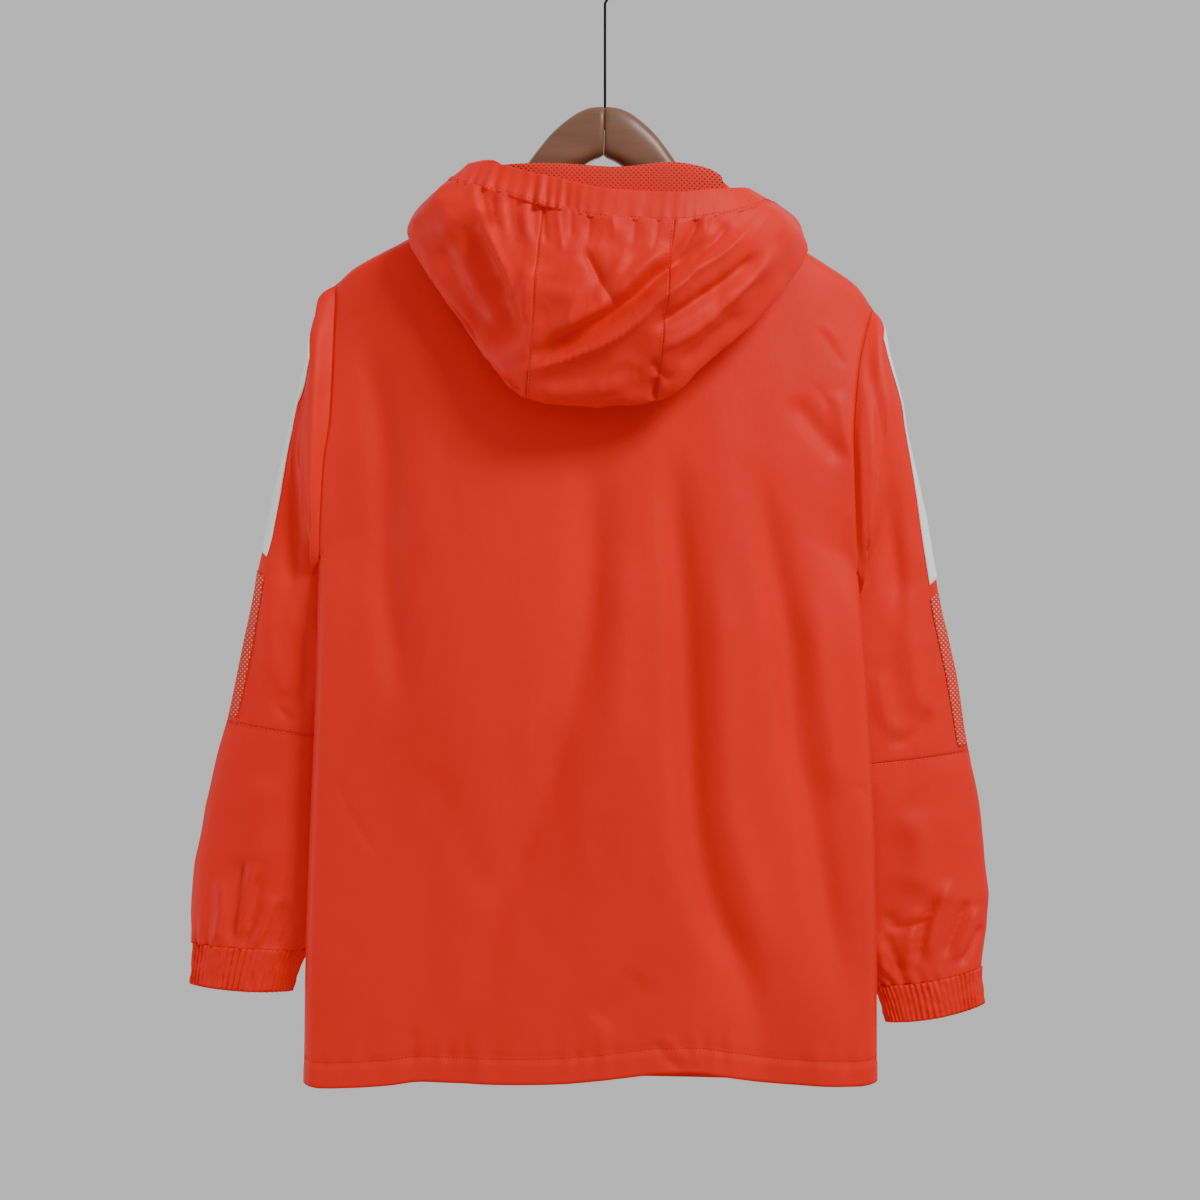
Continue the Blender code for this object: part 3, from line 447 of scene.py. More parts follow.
# %% [markdown]
# ## Folds
# A fold is a trough or ridge along a path that the eye can follow. Each one here is a row of
# its half width, its depth, which is negative where the cloth sinks, and the places it passes.
# The rows are in millimetres, as a tailor would write them. The path is measured as the camera
# sees it, across and down, and a fold on the back isn't felt by cloth that faces the front.
# A `soft` fold has a rounded section, and a `crisp` one a peaked section, as nipped cloth has.

# %% Fold helpers
SECTION = {"soft": 2.0, "crisp": 1.15}     # how sharply a fold's section falls away
FOLD_ENDS = 0.22           # share of its path over which a fold begins and ends
FOLD_TURN = 0.45           # how far cloth must face the viewer to feel a fold fully


def soft(width, depth, *places):
    return np.array(places) / 1000, width / 1000, depth / 1000, "soft"


def crisp(width, depth, *places):
    return (*soft(width, depth, *places)[:3], "crisp")


def deepened(folds, factor, kinds=("soft", "crisp")):
    """The same folds with those of the given kinds made deeper."""
    return [(path, width, depth * (factor if kind in kinds else 1), kind)
            for path, width, depth, kind in folds]


def distance_to_path(places, path):
    """Distance to a path, and how far along it the nearest place is, from 0 to 1."""
    path = np.asarray(path, float)
    spans = np.diff(path, axis=0)
    lengths = np.linalg.norm(spans, axis=1)
    starts = distances(path)
    nearest = np.full(len(places), 1e9)
    along = np.zeros(len(places))
    for k, span in enumerate(spans):
        share = np.clip((places - path[k]) @ span / lengths[k] ** 2, 0, 1)
        distance = np.linalg.norm(places - path[k] - share[:, None] * span, axis=1)
        closer = distance < nearest
        nearest = np.where(closer, distance, nearest)
        along = np.where(closer, (starts[k] + share * lengths[k]) / starts[-1], along)
    return nearest, along


def rounded(path, count=24):
    """A smooth line through a path's places."""
    return np.array([smooth(range(len(path)), path, at)
                     for at in np.linspace(0, len(path) - 1, count)])


def folds_on(points, folds, facing_sign, ring=False, facing=None):
    """Heights of all the folds at a grid's points, on the side that faces facing_sign * Y."""
    places = points.reshape(-1, 3)[:, (0, 2)]
    heights = np.zeros(len(places))
    for path, width, depth, kind in folds:
        distance, along = distance_to_path(places, rounded(path))
        section = np.exp(-(distance / width) ** SECTION[kind])
        heights += depth * section * ease(along / FOLD_ENDS) * ease((1 - along) / FOLD_ENDS)
    turned = normals_of(points, ring, facing)[..., 1].reshape(-1) * facing_sign
    return (heights * ease(turned / FOLD_TURN)).reshape(points.shape[:2])


def ripples(points, size, depth, stretch=(1, 1, 1), seed=0):
    """Slow uneven waves that no cloth is without."""
    shift = Vector((seed * 3.7, seed * 1.3, seed * 2.1))
    scale = Vector(stretch)
    flat = [noise.noise(Vector(p) * scale / size + shift) for p in points.reshape(-1, 3)]
    return depth * np.array(flat).reshape(points.shape[:2])


def crumples(points, size, depth, seed):
    """Small sharp ridges, as where two flat facets of crushed cloth meet."""
    shift = Vector((seed * 2.3, seed * 4.1, seed * 1.7))
    ridges = [1 - 2 * abs(noise.noise(Vector(p) / size + shift)) for p in points.reshape(-1, 3)]
    return depth * np.array(ridges).reshape(points.shape[:2])


def gathered(at, pitch, wander, drift, seed=0.0):
    """A wave whose pitch wanders along a line, as that of gathered cloth does."""
    return np.sin(at / pitch + wander * np.sin(at / drift + seed))


def fade_at(count, share, first=True, last=True):
    """1 along a row of points, falling to 0 at its ends."""
    at = np.linspace(0, 1, count)
    fade = np.ones(count)
    if first:
        fade *= ease(at / share)
    if last:
        fade *= ease((1 - at) / share)
    return fade


print("one straight fold, 3 mm away:", distance_to_path(np.array([[0.003, 0.5]]),
                                                        [(0, 0), (0, 1)])[0])

# %% [markdown]
# ## The body's shape
# The body hangs flat from the shoulders: a back panel, two front panels and a zip between
# them. The tables give its outline as it hangs, a little lower on the wearer's right, and its
# depth, which is greatest in the middle of the chest. v runs down a side, from 0 at the
# shoulder tip to 1 at the hem.

# %% Body sizes
UNDERARM_V = 0.348
SHOULDER_TIP_Z = {-1: -0.3005, 1: -0.3222}
SIDE_HEM_Z = {-1: -0.9985, 1: -0.9975}
# v, left edge x, right edge x
SIDE_EDGES = (
    (0.000, -0.2366, 0.2358), (0.080, -0.2372, 0.2215), (0.174, -0.2395, 0.2160),
    (0.230, -0.2450, 0.2172), (0.348, -0.2492, 0.2205), (0.500, -0.2518, 0.2284),
    (0.700, -0.2573, 0.2349), (0.850, -0.2608, 0.2366), (1.000, -0.2620, 0.2366),
)
# x, z of the shoulder line outside the neck
SHOULDER_LINE = (
    (-0.2366, -0.3005), (-0.2175, -0.2848), (-0.1710, -0.2627), (-0.1280, -0.2370),
    (-0.0850, -0.2125), (0.0850, -0.2165), (0.1280, -0.2430), (0.1766, -0.2744),
    (0.2219, -0.3031), (0.2358, -0.3222),
)
# x, z of the back panel's hem
BACK_HEM = (
    (-0.2620, -0.9985), (-0.2480, -1.0015), (-0.1800, -0.9975), (-0.1550, -0.9950),
    (-0.1170, -0.9965), (-0.0390, -0.9950), (0.0130, -0.9900), (0.0650, -0.9858),
    (0.1175, -0.9920), (0.1436, -0.9960), (0.2219, -1.0005), (0.2366, -0.9975),
)
FRONT_HEM_Z = -0.9980
BODY_HALF = 0.24
TIP_X = 0.222              # where the shoulders have come forward by SHOULDER_SWEEP
ZIP_LINE_HEM_X = -0.0125   # the zip's middle at the hem
NECK_HALF_WIDTH = 0.085
NECK_BACK_DEPTH = 0.035
NECK_FRONT_DEPTH = 0.038
NECK_BACK_DROP = 0.0225
NECK_FRONT_DROP = 0.0775
ARMHOLE_HALF_DEPTH = 0.013
SHOULDER_SWEEP = 0.026
SWEEP_FADE = 6.0           # how fast the sweep dies out down the body
SHOULDER_ROUND = 0.014     # how far below a shoulder seam the cloth is full depth
SIDE_ROUND = 0.012         # how far in from a side seam it is
ARMHOLE_ROUND = 0.060      # and how far in from an armhole
NECK_FALL = 0.090          # how far below the neck its opening dies out
FOLDED_FADE = 0.06         # v over which the shoulder's folded edge opens
UNDERARM_FADE = 0.04       # v over which the armhole's edge closes
# v, depth near the side and bulge in the middle: of the back, then of the front
DEPTHS = (
    (0.00, 0.012, 0.004, 0.012, 0.004),
    (0.15, 0.011, 0.013, 0.010, 0.021),
    (0.35, 0.010, 0.022, 0.006, 0.027),
    (0.70, 0.010, 0.021, 0.006, 0.026),
    (1.00, 0.010, 0.018, 0.006, 0.022),
)
# Long soft folds of the back: width, depth, then x at each of FOLD_HEIGHTS
FOLD_HEIGHTS = (-0.35, -0.50, -0.65, -0.80, -0.90, -0.99)
BACK_FOLDS = (
    (0.030, 0.0045, (-0.196, -0.196, -0.180, -0.160, -0.150, -0.150)),
    (0.032, 0.0055, (0.000, -0.008, -0.018, -0.055, -0.095, -0.125)),
    (0.026, 0.0050, (0.055, 0.066, 0.074, 0.086, 0.115, 0.150)),
    (0.022, 0.0040, (0.120, 0.140, 0.164, 0.195, 0.212, 0.222)),
)
FOLD_START = 0.20          # v where the back's bands begin
FOLD_FADE = 0.20           # and v over which they grow to full depth
FIRST_ROW_V = 0.0022       # v of the row next to a shoulder seam
RING_SIDES = 20            # guide points round a sleeve
EDGE_FRACTIONS = (0.010, 0.029, 0.062)
LAST_ROWS = 12             # coarse rows from the underarm to the hem
BACK_SPREAD = 9            # coarse columns from a side to the middle of the back
FRONT_SPREAD = 7           # and from a side to the zip
ZIP_EDGE = 0.0085          # from the zip's middle to a front panel's edge
print("hem width: %.3f m" % (SIDE_EDGES[-1][2] - SIDE_EDGES[-1][1]))

# %% [markdown]
# From these few sizes each panel gets a coarse grid of points. The shoulder line, the side
# edges and the hem are read as smooth curves, and the depth is rounded off at every seam, as
# two layers of cloth sewn together at their edges would stand.

# %% Points of the body's panels
def shoulder_z(x):
    return looked_up(SHOULDER_LINE, x)


def neck_side_z(x):
    left = shoulder_z(-NECK_HALF_WIDTH)
    return left + (shoulder_z(NECK_HALF_WIDTH) - left) * (x / NECK_HALF_WIDTH + 1) / 2


def neck_open(x):
    """1 in the middle of the neck, 0 at its sides and beyond."""
    return math.sqrt(max(0.0, 1 - (x / NECK_HALF_WIDTH) ** 2))


def top_z(x, drop):
    if abs(x) >= NECK_HALF_WIDTH:
        return shoulder_z(x)
    return neck_side_z(x) - drop * neck_open(x) ** 2


def side_x(side, v):
    return looked_up(SIDE_EDGES, v, 1 if side < 0 else 2)


def side_z(side, v):
    return SHOULDER_TIP_Z[side] + (SIDE_HEM_Z[side] - SHOULDER_TIP_Z[side]) * v


def middle_y(x, v):
    """The plane between back and front, swept forward at the shoulders."""
    return SHOULDER_SWEEP * (x / TIP_X) ** 2 * math.exp(-SWEEP_FADE * v)


def fold_depth(x, z, v):
    depth = 0.0
    for width, deep, path in BACK_FOLDS:
        away = (x - smooth(FOLD_HEIGHTS[::-1], path[::-1], z)) / width
        depth += deep * math.exp(-away * away)
    return depth * ease((v - FOLD_START) / FOLD_FADE)


def body_depth(u, top_x, v, below_top, is_back):
    """How far back or front stands off the middle plane; u is -1 and 1 at the sides."""
    inward = 1 - abs(u)
    edge = inward * BODY_HALF
    row = smooth(column(DEPTHS, 0), [line[1:3] if is_back else line[3:5] for line in DEPTHS], v)
    shape = 1 - u * u if is_back else math.sin(inward * math.pi / 2) ** 2
    full = row[0] + row[1] * shape
    below_arm = ease((v - UNDERARM_V) / UNDERARM_FADE + 0.5)
    folded = max(below_arm, 1 - ease(v / FOLDED_FADE))
    q = min(v / UNDERARM_V, 1.0)
    armhole = ARMHOLE_HALF_DEPTH * 2 * math.sqrt(q * (1 - q))
    side = folded * arc(edge / SIDE_ROUND) + (1 - folded) * ease(edge / ARMHOLE_ROUND)
    inner = armhole * (1 - side) + full * side
    neck = neck_open(top_x)
    at_top = (NECK_BACK_DEPTH if is_back else NECK_FRONT_DEPTH) * neck
    blend = (1 - neck) * arc(below_top / SHOULDER_ROUND) + neck * ease(below_top / NECK_FALL)
    if inward < 1e-6:
        blend = 1.0
    return at_top + (inner - at_top) * blend


def back_point(f, v):
    """A point of the back panel, f of the way from its left side to its right."""
    top_x, x, hem_x = (side_x(-1, at) * (1 - f) + side_x(1, at) * f for at in (0, v, 1))
    top = top_z(top_x, NECK_BACK_DROP)
    z = top + (looked_up(BACK_HEM, hem_x) - top) * v
    depth = body_depth(2 * f - 1, top_x, v, top - z, True) - fold_depth(x, z, v)
    return (x, middle_y(x, v) - depth, z)


def front_x(side, f, v):
    return side_x(side, v) * (1 - f) + ZIP_LINE_HEM_X * ease(v) * f


def front_point(side, f, v):
    """A point of a front panel, f of the way from its side to the zip's middle line."""
    top_x, x = (front_x(side, f, at) for at in (0, v))
    top = top_z(top_x, NECK_FRONT_DROP)
    z = top + (SIDE_HEM_Z[side] * (1 - f) + FRONT_HEM_Z * f - top) * v
    return (x, middle_y(x, v) + body_depth(1 - f, top_x, v, top - z, False), z)


def row_values():
    """v of a panel's first, coarse rows: the armhole's own steps, then even ones."""
    half = RING_SIDES // 2
    arm = [UNDERARM_V * (1 - math.cos(math.pi * j / half)) / 2 for j in range(half + 1)]
    return [0.0, FIRST_ROW_V] + arm[1:] + list(np.linspace(UNDERARM_V, 1.0, LAST_ROWS))[1:]


def spread(end, count):
    """Fractions from a side edge inward to end, close together at the edge."""
    near = [0.0, *EDGE_FRACTIONS]
    return near + list(np.linspace(near[-1], end, count))[1:]


ROW_KNOTS = row_values()
half_spread = [f / 2 for f in spread(1.0, BACK_SPREAD)]
BACK_KNOTS = half_spread + [1 - f for f in half_spread[::-1][1:]]
FRONT_KNOTS = spread(1 - ZIP_EDGE / BODY_HALF, FRONT_SPREAD)
coarse_back = [[back_point(f, v) for f in BACK_KNOTS] for v in ROW_KNOTS]
coarse_front = {side: [[front_point(side, f, v) for f in FRONT_KNOTS] for v in ROW_KNOTS]
                for side in SIDES}
print("the body's coarse panels have", len(ROW_KNOTS), "rows")

# %% [markdown]
# ## Folds of the back
# Seen from behind, four long shallow bands run down the back and lean outward towards the hem,
# because the shoulders carry all of the weight. The plain model has them already as wide
# hollows. Here they get narrower cores and lit shoulders beside them, and the back gets its
# short creases: by the armholes, beside the left sleeve, and the puckers along the hem.

# %% Back panel
BACK_CREASES = (
    soft(14, -2.6, (-214, -325), (-200, -390), (-190, -467), (-191, -545), (-183, -613),
         (-176, -690)),
    soft(20, 1.6, (-166, -345), (-163, -440), (-158, -560)),
    soft(17, -3.4, (-4, -424), (-13, -579), (-28, -665), (-47, -726), (-78, -811), (-102, -882),
         (-124, -960)),
    soft(16, 1.8, (20, -520), (10, -640), (-12, -735), (-48, -830)),
    soft(13, -3.6, (54, -433), (66, -579), (73, -708), (76, -753), (90, -835), (118, -897),
         (143, -970)),
    soft(14, 2, (94, -520), (100, -640), (104, -740), (124, -830), (150, -910)),
    soft(13, -3.4, (126, -440), (146, -545), (159, -613), (166, -698), (180, -764), (196, -866),
         (211, -940)),
    soft(12, 1.6, (178, -560), (190, -660), (204, -760)),
    soft(16, -1.2, (-150, -716), (-116, -802), (-88, -846)),
    soft(13, -1.2, (36, -900), (12, -925), (-10, -945)),
    crisp(3, -1.6, (185, -341), (198, -360), (210, -377)),
    crisp(3.4, 1, (192, -338), (204, -356)),
    crisp(2.8, -1.3, (183, -392), (196, -413)),
    soft(9, -1.7, (159, -402), (172, -418), (193, -442), (211, -462)),
    soft(7, 1.2, (200, -395), (207, -425), (214, -455)),
    crisp(2.6, -1.3, (-230, -333), (-221, -332), (-210, -324)),
    crisp(3.4, -1.2, (-236, -728), (-217, -769), (-195, -800)),
    crisp(3.2, -1.3, (218, -737), (231, -753)),
    crisp(4, -1.3, (-165, -945), (-165, -985)),
    crisp(4, -2.2, (42, -956), (54, -974), (68, -984)),
    crisp(4, 1.8, (50, -952), (64, -968), (82, -980)),
    crisp(3, -1.6, (70, -966), (80, -985)),
    soft(20, -1.6, (-90, -232), (-104, -290), (-96, -350)),
)
BACK_FACING = (0, -1, 0)


BACK_ROWS, BACK_COLUMNS = 255, 170
BACK_DRAPE = 2.1           # how much stronger the long bands are than their table says
BACK_RIPPLES = ((0.085, 0.0012, (1, 1, 0.45), 1), (0.030, 0.00035, (1, 1, 0.6), 2))
HEM_WIDTH = 0.022
HEM_STEP = 0.0007          # the turned hem is double cloth
HEM_EDGE = 0.0040          # how softly its step begins
HEM_GROOVE = 0.0035        # half width of the groove along its stitches
HEM_PUCKER = 0.0010
PUCKER_REACH = 0.013
PUCKER_SEED = 1


def hem_shape(points, seed):
    """The turned hem's step, its sewn groove, and the puckers that the stitches draw up."""
    above = away_from_end(points)
    doubled = ease((HEM_WIDTH - above) / HEM_EDGE)
    groove = np.exp(-((above - HEM_WIDTH) / HEM_GROOVE) ** 2)
    x = points[-1, :, 0]
    wave = gathered(x, 0.0034, 2.2, 0.019, seed) + 0.7 * np.sin(x / 0.0059 + seed)
    uneven = 0.45 + 0.55 * np.sin(x / 0.034 + 2 * seed) ** 2
    near = np.exp(-np.abs(above - HEM_WIDTH) / PUCKER_REACH)
    return (HEM_STEP * (doubled - groove))[:, None] + HEM_PUCKER * np.outer(near, wave * uneven)


back = refine(coarse_back, BACK_ROWS, BACK_COLUMNS, ROW_KNOTS, BACK_KNOTS)
edge_fade = np.outer(fade_at(BACK_ROWS, 0.012, last=False), fade_at(BACK_COLUMNS, 0.02))
heights = folds_on(back, deepened(BACK_CREASES, BACK_DRAPE, ("soft",)), -1, facing=BACK_FACING)
for size, depth, stretch, seed in BACK_RIPPLES:
    heights += ripples(back, size, depth, stretch, seed)
back = lifted(back, heights * edge_fade + hem_shape(back, PUCKER_SEED), facing=BACK_FACING)
cloth("back_panel", back, shell_nylon, facing=BACK_FACING)

# %% [markdown]
# ## Front panels
# The two fronts hang from the shoulders to the zip. The photograph doesn't show them, so they
# get folds like the back's: shallow bands that lean outward, and a few soft drags that run from
# the shoulder towards the zip, where the hood's weight pulls.

# %% Front panels
FRONT_FACING = (0, 1, 0)
FRONT_ROWS, FRONT_COLUMNS = 190, 70
FRONT_CREASES = {
    -1: (
        soft(14, -2.8, (-200, -340), (-186, -450), (-182, -600), (-170, -760), (-176, -960)),
        soft(16, 1.8, (-150, -400), (-146, -560), (-140, -720)),
        soft(16, -3.4, (-100, -300), (-96, -460), (-104, -620), (-118, -800), (-136, -980)),
        soft(15, 1.8, (-60, -420), (-64, -600), (-78, -780)),
        soft(8, -1.6, (-140, -270), (-110, -320), (-66, -350)),
        soft(12, -2, (-40, -620), (-44, -780), (-40, -960)),
        crisp(3.6, -1.2, (-232, -640), (-215, -690), (-190, -715)),
    ),
    1: (
        soft(14, -3, (180, -350), (172, -460), (176, -620), (190, -800), (196, -970)),
        soft(16, 1.8, (140, -420), (138, -580), (150, -760)),
        soft(15, -3.4, (90, -310), (80, -450), (86, -620), (104, -800), (116, -975)),
        soft(14, 1.6, (46, -440), (46, -620), (58, -800)),
        soft(8, -1.8, (150, -280), (112, -330), (60, -352)),
        soft(11, -1.8, (30, -580), (28, -740), (34, -940)),
        crisp(3.6, -1.3, (214, -600), (196, -660), (170, -684)),
    ),
}


def make_front(side):
    points = refine(coarse_front[side], FRONT_ROWS, FRONT_COLUMNS, ROW_KNOTS, FRONT_KNOTS)
    fade = np.outer(fade_at(FRONT_ROWS, 0.012, last=False), fade_at(FRONT_COLUMNS, 0.05))
    raised = folds_on(points, FRONT_CREASES[side], 1, facing=FRONT_FACING)
    raised += ripples(points, 0.080, 0.0012, (1, 1, 0.45), 3 + side)
    points = lifted(points, raised * fade, facing=FRONT_FACING)
    cloth("front_" + SIDES[side], points, shell_nylon, facing=FRONT_FACING)
    return points


fronts = {side: make_front(side) for side in SIDES}

# %% [markdown]
# ## Sleeves
# A sleeve is a tube pressed nearly flat. It leaves the armhole, passes in front of the body and
# ends in an elastic cuff. Rows of guide rings give its outline as it hangs: the outer ridge,
# the middle and the inner ridge, each with its place and depth. The points between the rings
# are worked out like the body's.

# %% Sleeve rings
# outer x, z; middle x, z; inner x, z; outer, middle, inner y; half depth; in millimetres
SLEEVE_RINGS = {
    -1: (
        (251.9, -315.5, 254.5, -435, 256.5, -556, 24, 6, 14, 18),
        (256.3, -341.9, 261.5, -455, 247.5, -574, 23, 14, 34, 22),
        (265, -380, 267, -485, 223, -596, 22, 26, 40, 22),
        (275.9, -425.1, 262.5, -520, 198, -614, 22, 36, 42, 24),
        (290.3, -486.5, 250, -560, 183, -632, 25, 40, 42, 24),
        (301.3, -540.1, 245, -595, 177, -650, 29, 40, 42, 24),
        (312.3, -587.7, 246, -630, 176, -668, 32, 40, 42, 24),
        (324, -642, 252, -667, 180, -686, 35, 40, 42, 24),
        (334, -685, 260, -697, 186, -700, 37, 40, 41, 24),
        (345.7, -729.2, 269, -737, 190, -742, 37, 39, 40, 24),
        (356, -780, 278, -785, 199, -790, 36, 37, 38, 23),
        (362.5, -820, 287, -826, 212, -832, 34, 35, 36, 22),
        (364.5, -851.9, 297, -856, 230, -860, 31, 32, 33, 20),
        (362.5, -880.7, 312.5, -884.5, 262.5, -886.4, 28, 28, 29, 17),
        (365.1, -915.9, 321, -921, 276.2, -922.5, 26, 26, 27, 16),
    ),
    1: (
        (243.2, -335, 233, -450, 226, -569, 24, 6, 13, 18),
        (249, -358, 240, -468, 214, -586, 23, 13, 28, 22),
        (257.5, -390, 243, -495, 193, -607, 22, 25, 38, 24),
        (264.5, -426, 241.5, -527, 172, -626, 22, 36, 42, 24),
        (277, -486, 229, -567, 158, -645, 25, 40, 42, 24),
        (287.5, -540, 224, -604, 153, -666, 29, 40, 42, 24),
        (296.5, -588, 227, -640, 154, -688, 32, 40, 42, 24),
        (308.5, -640, 233, -683, 160, -708, 35, 40, 42, 24),
        (320.5, -712, 245, -721.5, 170, -727, 37, 40, 41, 24),
        (329, -750, 252, -758, 174, -764, 37, 39, 40, 24),
        (334.6, -799.6, 258, -806, 180, -812, 36, 37, 38, 23),
        (338.5, -840, 263, -849, 189, -857, 34, 35, 36, 22),
        (337.5, -865, 268, -878, 200, -888, 31, 32, 33, 20),
        (330.9, -901.8, 284, -913, 237.5, -918.1, 28, 28, 29, 17),
        (333.5, -933.5, 291, -944.5, 247.6, -949.8, 26, 26, 27, 16),
    ),
}
ELBOW_RING = 9             # ring 0 is the armhole
CUFF_RING = 14
END_RING = 15
TAPE_STEPS = (-1.5, 1.5)
TAPE_LEAN = {-1: 1.2, 1: 0.0}   # steps that the tape's top end has come round to the back
TAPE_RINGS = {-1: (1.6, 5.9), 1: (1.2, 6.4)}
MESH_STEPS = (0.5, 1.6)
MESH_RINGS = {-1: (6.25, 8.9), 1: (6.65, 8.9)}


def armhole_ring(side):
    ring = []
    for j in range(RING_SIDES):
        angle = 2 * math.pi * j / RING_SIDES
        v = UNDERARM_V * (1 - math.cos(angle)) / 2
        x = side_x(side, v)
        y = middle_y(x, v) - ARMHOLE_HALF_DEPTH * math.sin(angle)
        ring.append((x, y, side_z(side, v)))
    return ring


def sleeve_ring(side, row):
    out_x, out_z, mid_x, mid_z, in_x, in_z, out_y, mid_y, in_y, half_depth = np.array(row) / 1000
    line = np.array(((out_x, out_y, out_z), (mid_x, mid_y, mid_z), (in_x, in_y, in_z)))
    ring = []
    for j in range(RING_SIDES):
        angle = 2 * math.pi * j / RING_SIDES
        q = (1 - math.cos(angle)) / 2
        weights = np.array(((1 - q) * (1 - 2 * q), 4 * q * (1 - q), q * (2 * q - 1)))
        x, y, z = weights @ line
        ring.append((side * x, y - half_depth * math.sin(angle), z))
    return ring


def sleeve_rings(side):
    rows = [sleeve_ring(side, row) for row in SLEEVE_RINGS[side]]
    return np.array([armhole_ring(side)] + rows)


def tube(rings, start, end, rows, cols):
    """A fine grid between two of the sleeve's ring numbers."""
    knots = range(len(rings))
    coarse = np.array([smooth(knots, rings, at) for at in np.linspace(start, end, rows)])
    return refine(coarse, rows, cols, ring=True)


rings_of = {side: sleeve_rings(side) for side in SIDES}
print("guide rings in each sleeve:", len(rings_of[1]))

# %% [markdown]
# ## Folds of the sleeves
# Thin nylon breaks into crisp folds where a seam or an elastic pulls it in. Long folds run down
# the upper sleeve from the shoulder. The elbow seam puckers both sleeve panels a little. Above
# the cuff the cloth is gathered, so folds rise from it and open out like a fan.

# %% Sleeve panels
CUFF_GATHERS = 28
SEAM_DIP = 0.0005          # depth of the groove at a sewn seam
SEAM_DIP_REACH = 0.0030
SEAM_LAP = 0.012           # of a step between rings, so that no daylight shows in a seam
SLEEVE_DRAPE = 1.7         # how much deeper the folds are than their tables say
SLEEVE_CRUMPLE = 0.0011
UPPER_SIZE = (120, 96)     # rows, and points round
LOWER_SIZE = (78, 112)
# How many gathers, how deep, how far they reach, whether at the panel's start, and a seed
ELBOW_ABOVE = (26, 0.0005, 0.010, False, 1.0)
ELBOW_BELOW = (26, 0.0005, 0.008, True, 1.0)
CUFF_ABOVE = (24, 0.0017, 0.018, False, 2.0)
# The folds on the side that faces the camera
SLEEVE_CREASES = {
    -1: (
        soft(7.5, -3, (-262, -350), (-268, -421), (-271, -509), (-277, -596)),
        soft(6, 0.6, (-250, -330), (-252, -380), (-255, -430)),
        soft(9, 2, (-290, -520), (-296, -580), (-290, -660)),
        crisp(4.2, -1.8, (-276, -658), (-286, -671), (-268, -688)),
        soft(7, -1.8, (-262, -600), (-262, -640), (-272, -680)),
        crisp(4.6, -3, (-316, -800), (-322, -842), (-328, -884)),
        soft(5, 2.6, (-308, -806), (-314, -845), (-320, -880)),
        crisp(3.4, -2.8, (-302, -815), (-309, -855), (-317, -888)),
        crisp(4.2, 2.6, (-288, -835), (-299, -864), (-307, -886)),
        crisp(3.4, -2.6, (-280, -840), (-291, -868), (-301, -888)),
        soft(4.2, 2, (-338, -820), (-336, -851), (-340, -882)),
        crisp(3.6, -1.8, (-271, -846), (-281, -868), (-289, -888)),
        soft(14, 1.8, (-300, -730), (-306, -780), (-300, -820)),
    ),
    1: (
        soft(8, -3.2, (226, -350), (240, -430), (252, -526), (262, -614)),
        soft(6, 1.6, (214, -400), (222, -480), (228, -560)),
        soft(9, 2, (262, -560), (270, -640), (280, -690)),
        crisp(4.8, -2.2, (284, -672), (275, -694), (250, -708)),
        soft(6, 1.8, (240, -640), (246, -680), (262, -700)),
        crisp(3.6, -3, (319, -840), (308, -866), (297, -894)),
        crisp(4.2, 3, (327, -846), (316, -874), (304, -897)),
        crisp(3.2, -2.8, (333, -862), (322, -882), (309, -900)),
        soft(5, 3.2, (303, -822), (290, -855), (281, -898)),
        crisp(3.6, -3.2, (292, -836), (279, -866), (272, -900)),
        crisp(4.2, 2.6, (275, -845), (267, -877), (264, -906)),
        crisp(3.2, -2.6, (246, -870), (253, -890), (262, -908)),
        crisp(4, -2.2, (244, -850), (258, -866), (284, -860)),
        crisp(3.2, 2, (236, -868), (242, -892), (248, -910)),
        soft(13, 1.8, (262, -760), (276, -800), (270, -840)),
    ),
}


def far_side(creases):
    """The same kind of folds for the hidden side, moved along and eased a little."""
    return [(path * (0.985, 1) + (0, 0.007), width * 1.1, depth * 0.9, kind)
            for path, width, depth, kind in creases]


def seam_dip(grid, at_start):
    """The groove that a sewn seam pulls into the cloth on both sides of it."""
    return -SEAM_DIP * np.exp(-away_from_end(grid, at_start) / SEAM_DIP_REACH)[:, None]


def seam_puckers(grid, count, depth, reach, at_start, seed):
    """Small gathers round a tube that die out away from the seam."""
    cols = grid.shape[1]
    away = away_from_end(grid, at_start)
    turn = np.linspace(0, 2 * math.pi, cols, endpoint=False)
    wave = gathered(turn, 1 / count, 1.4, 1 / 3, seed)
    wave += 0.5 * np.sin((count // 2 + 1) * turn + seed)
    uneven = 0.55 + 0.45 * np.sin(2 * turn + seed)
    return depth * np.exp(-away / reach)[:, None] * (wave * uneven)[None, :]


def make_sleeve_panel(side, name, ends, size, puckers):
    grid = tube(rings_of[side], *ends, *size)
    creases = deepened(SLEEVE_CREASES[side], SLEEVE_DRAPE)
    raised = folds_on(grid, creases, -1, ring=True)
    raised += folds_on(grid, far_side(creases), 1, ring=True)
    raised += crumples(grid, 0.055, SLEEVE_CRUMPLE, 5 + side)
    raised += ripples(grid, 0.050, 0.0013, (1, 1, 0.5), 7 + side)
    fade = fade_at(size[0], 0.05, last=False)[:, None] if ends[0] < 1 else 1.0
    raised = raised * fade
    for count, depth, reach, at_start, seed in puckers:
        raised = raised + seam_puckers(grid, count, depth, reach, at_start, seed + side)
        raised = raised + seam_dip(grid, at_start)
    grid = lifted(grid, raised, ring=True)
    cloth(name + SIDES[side], grid, shell_nylon, ring=True)
    return grid


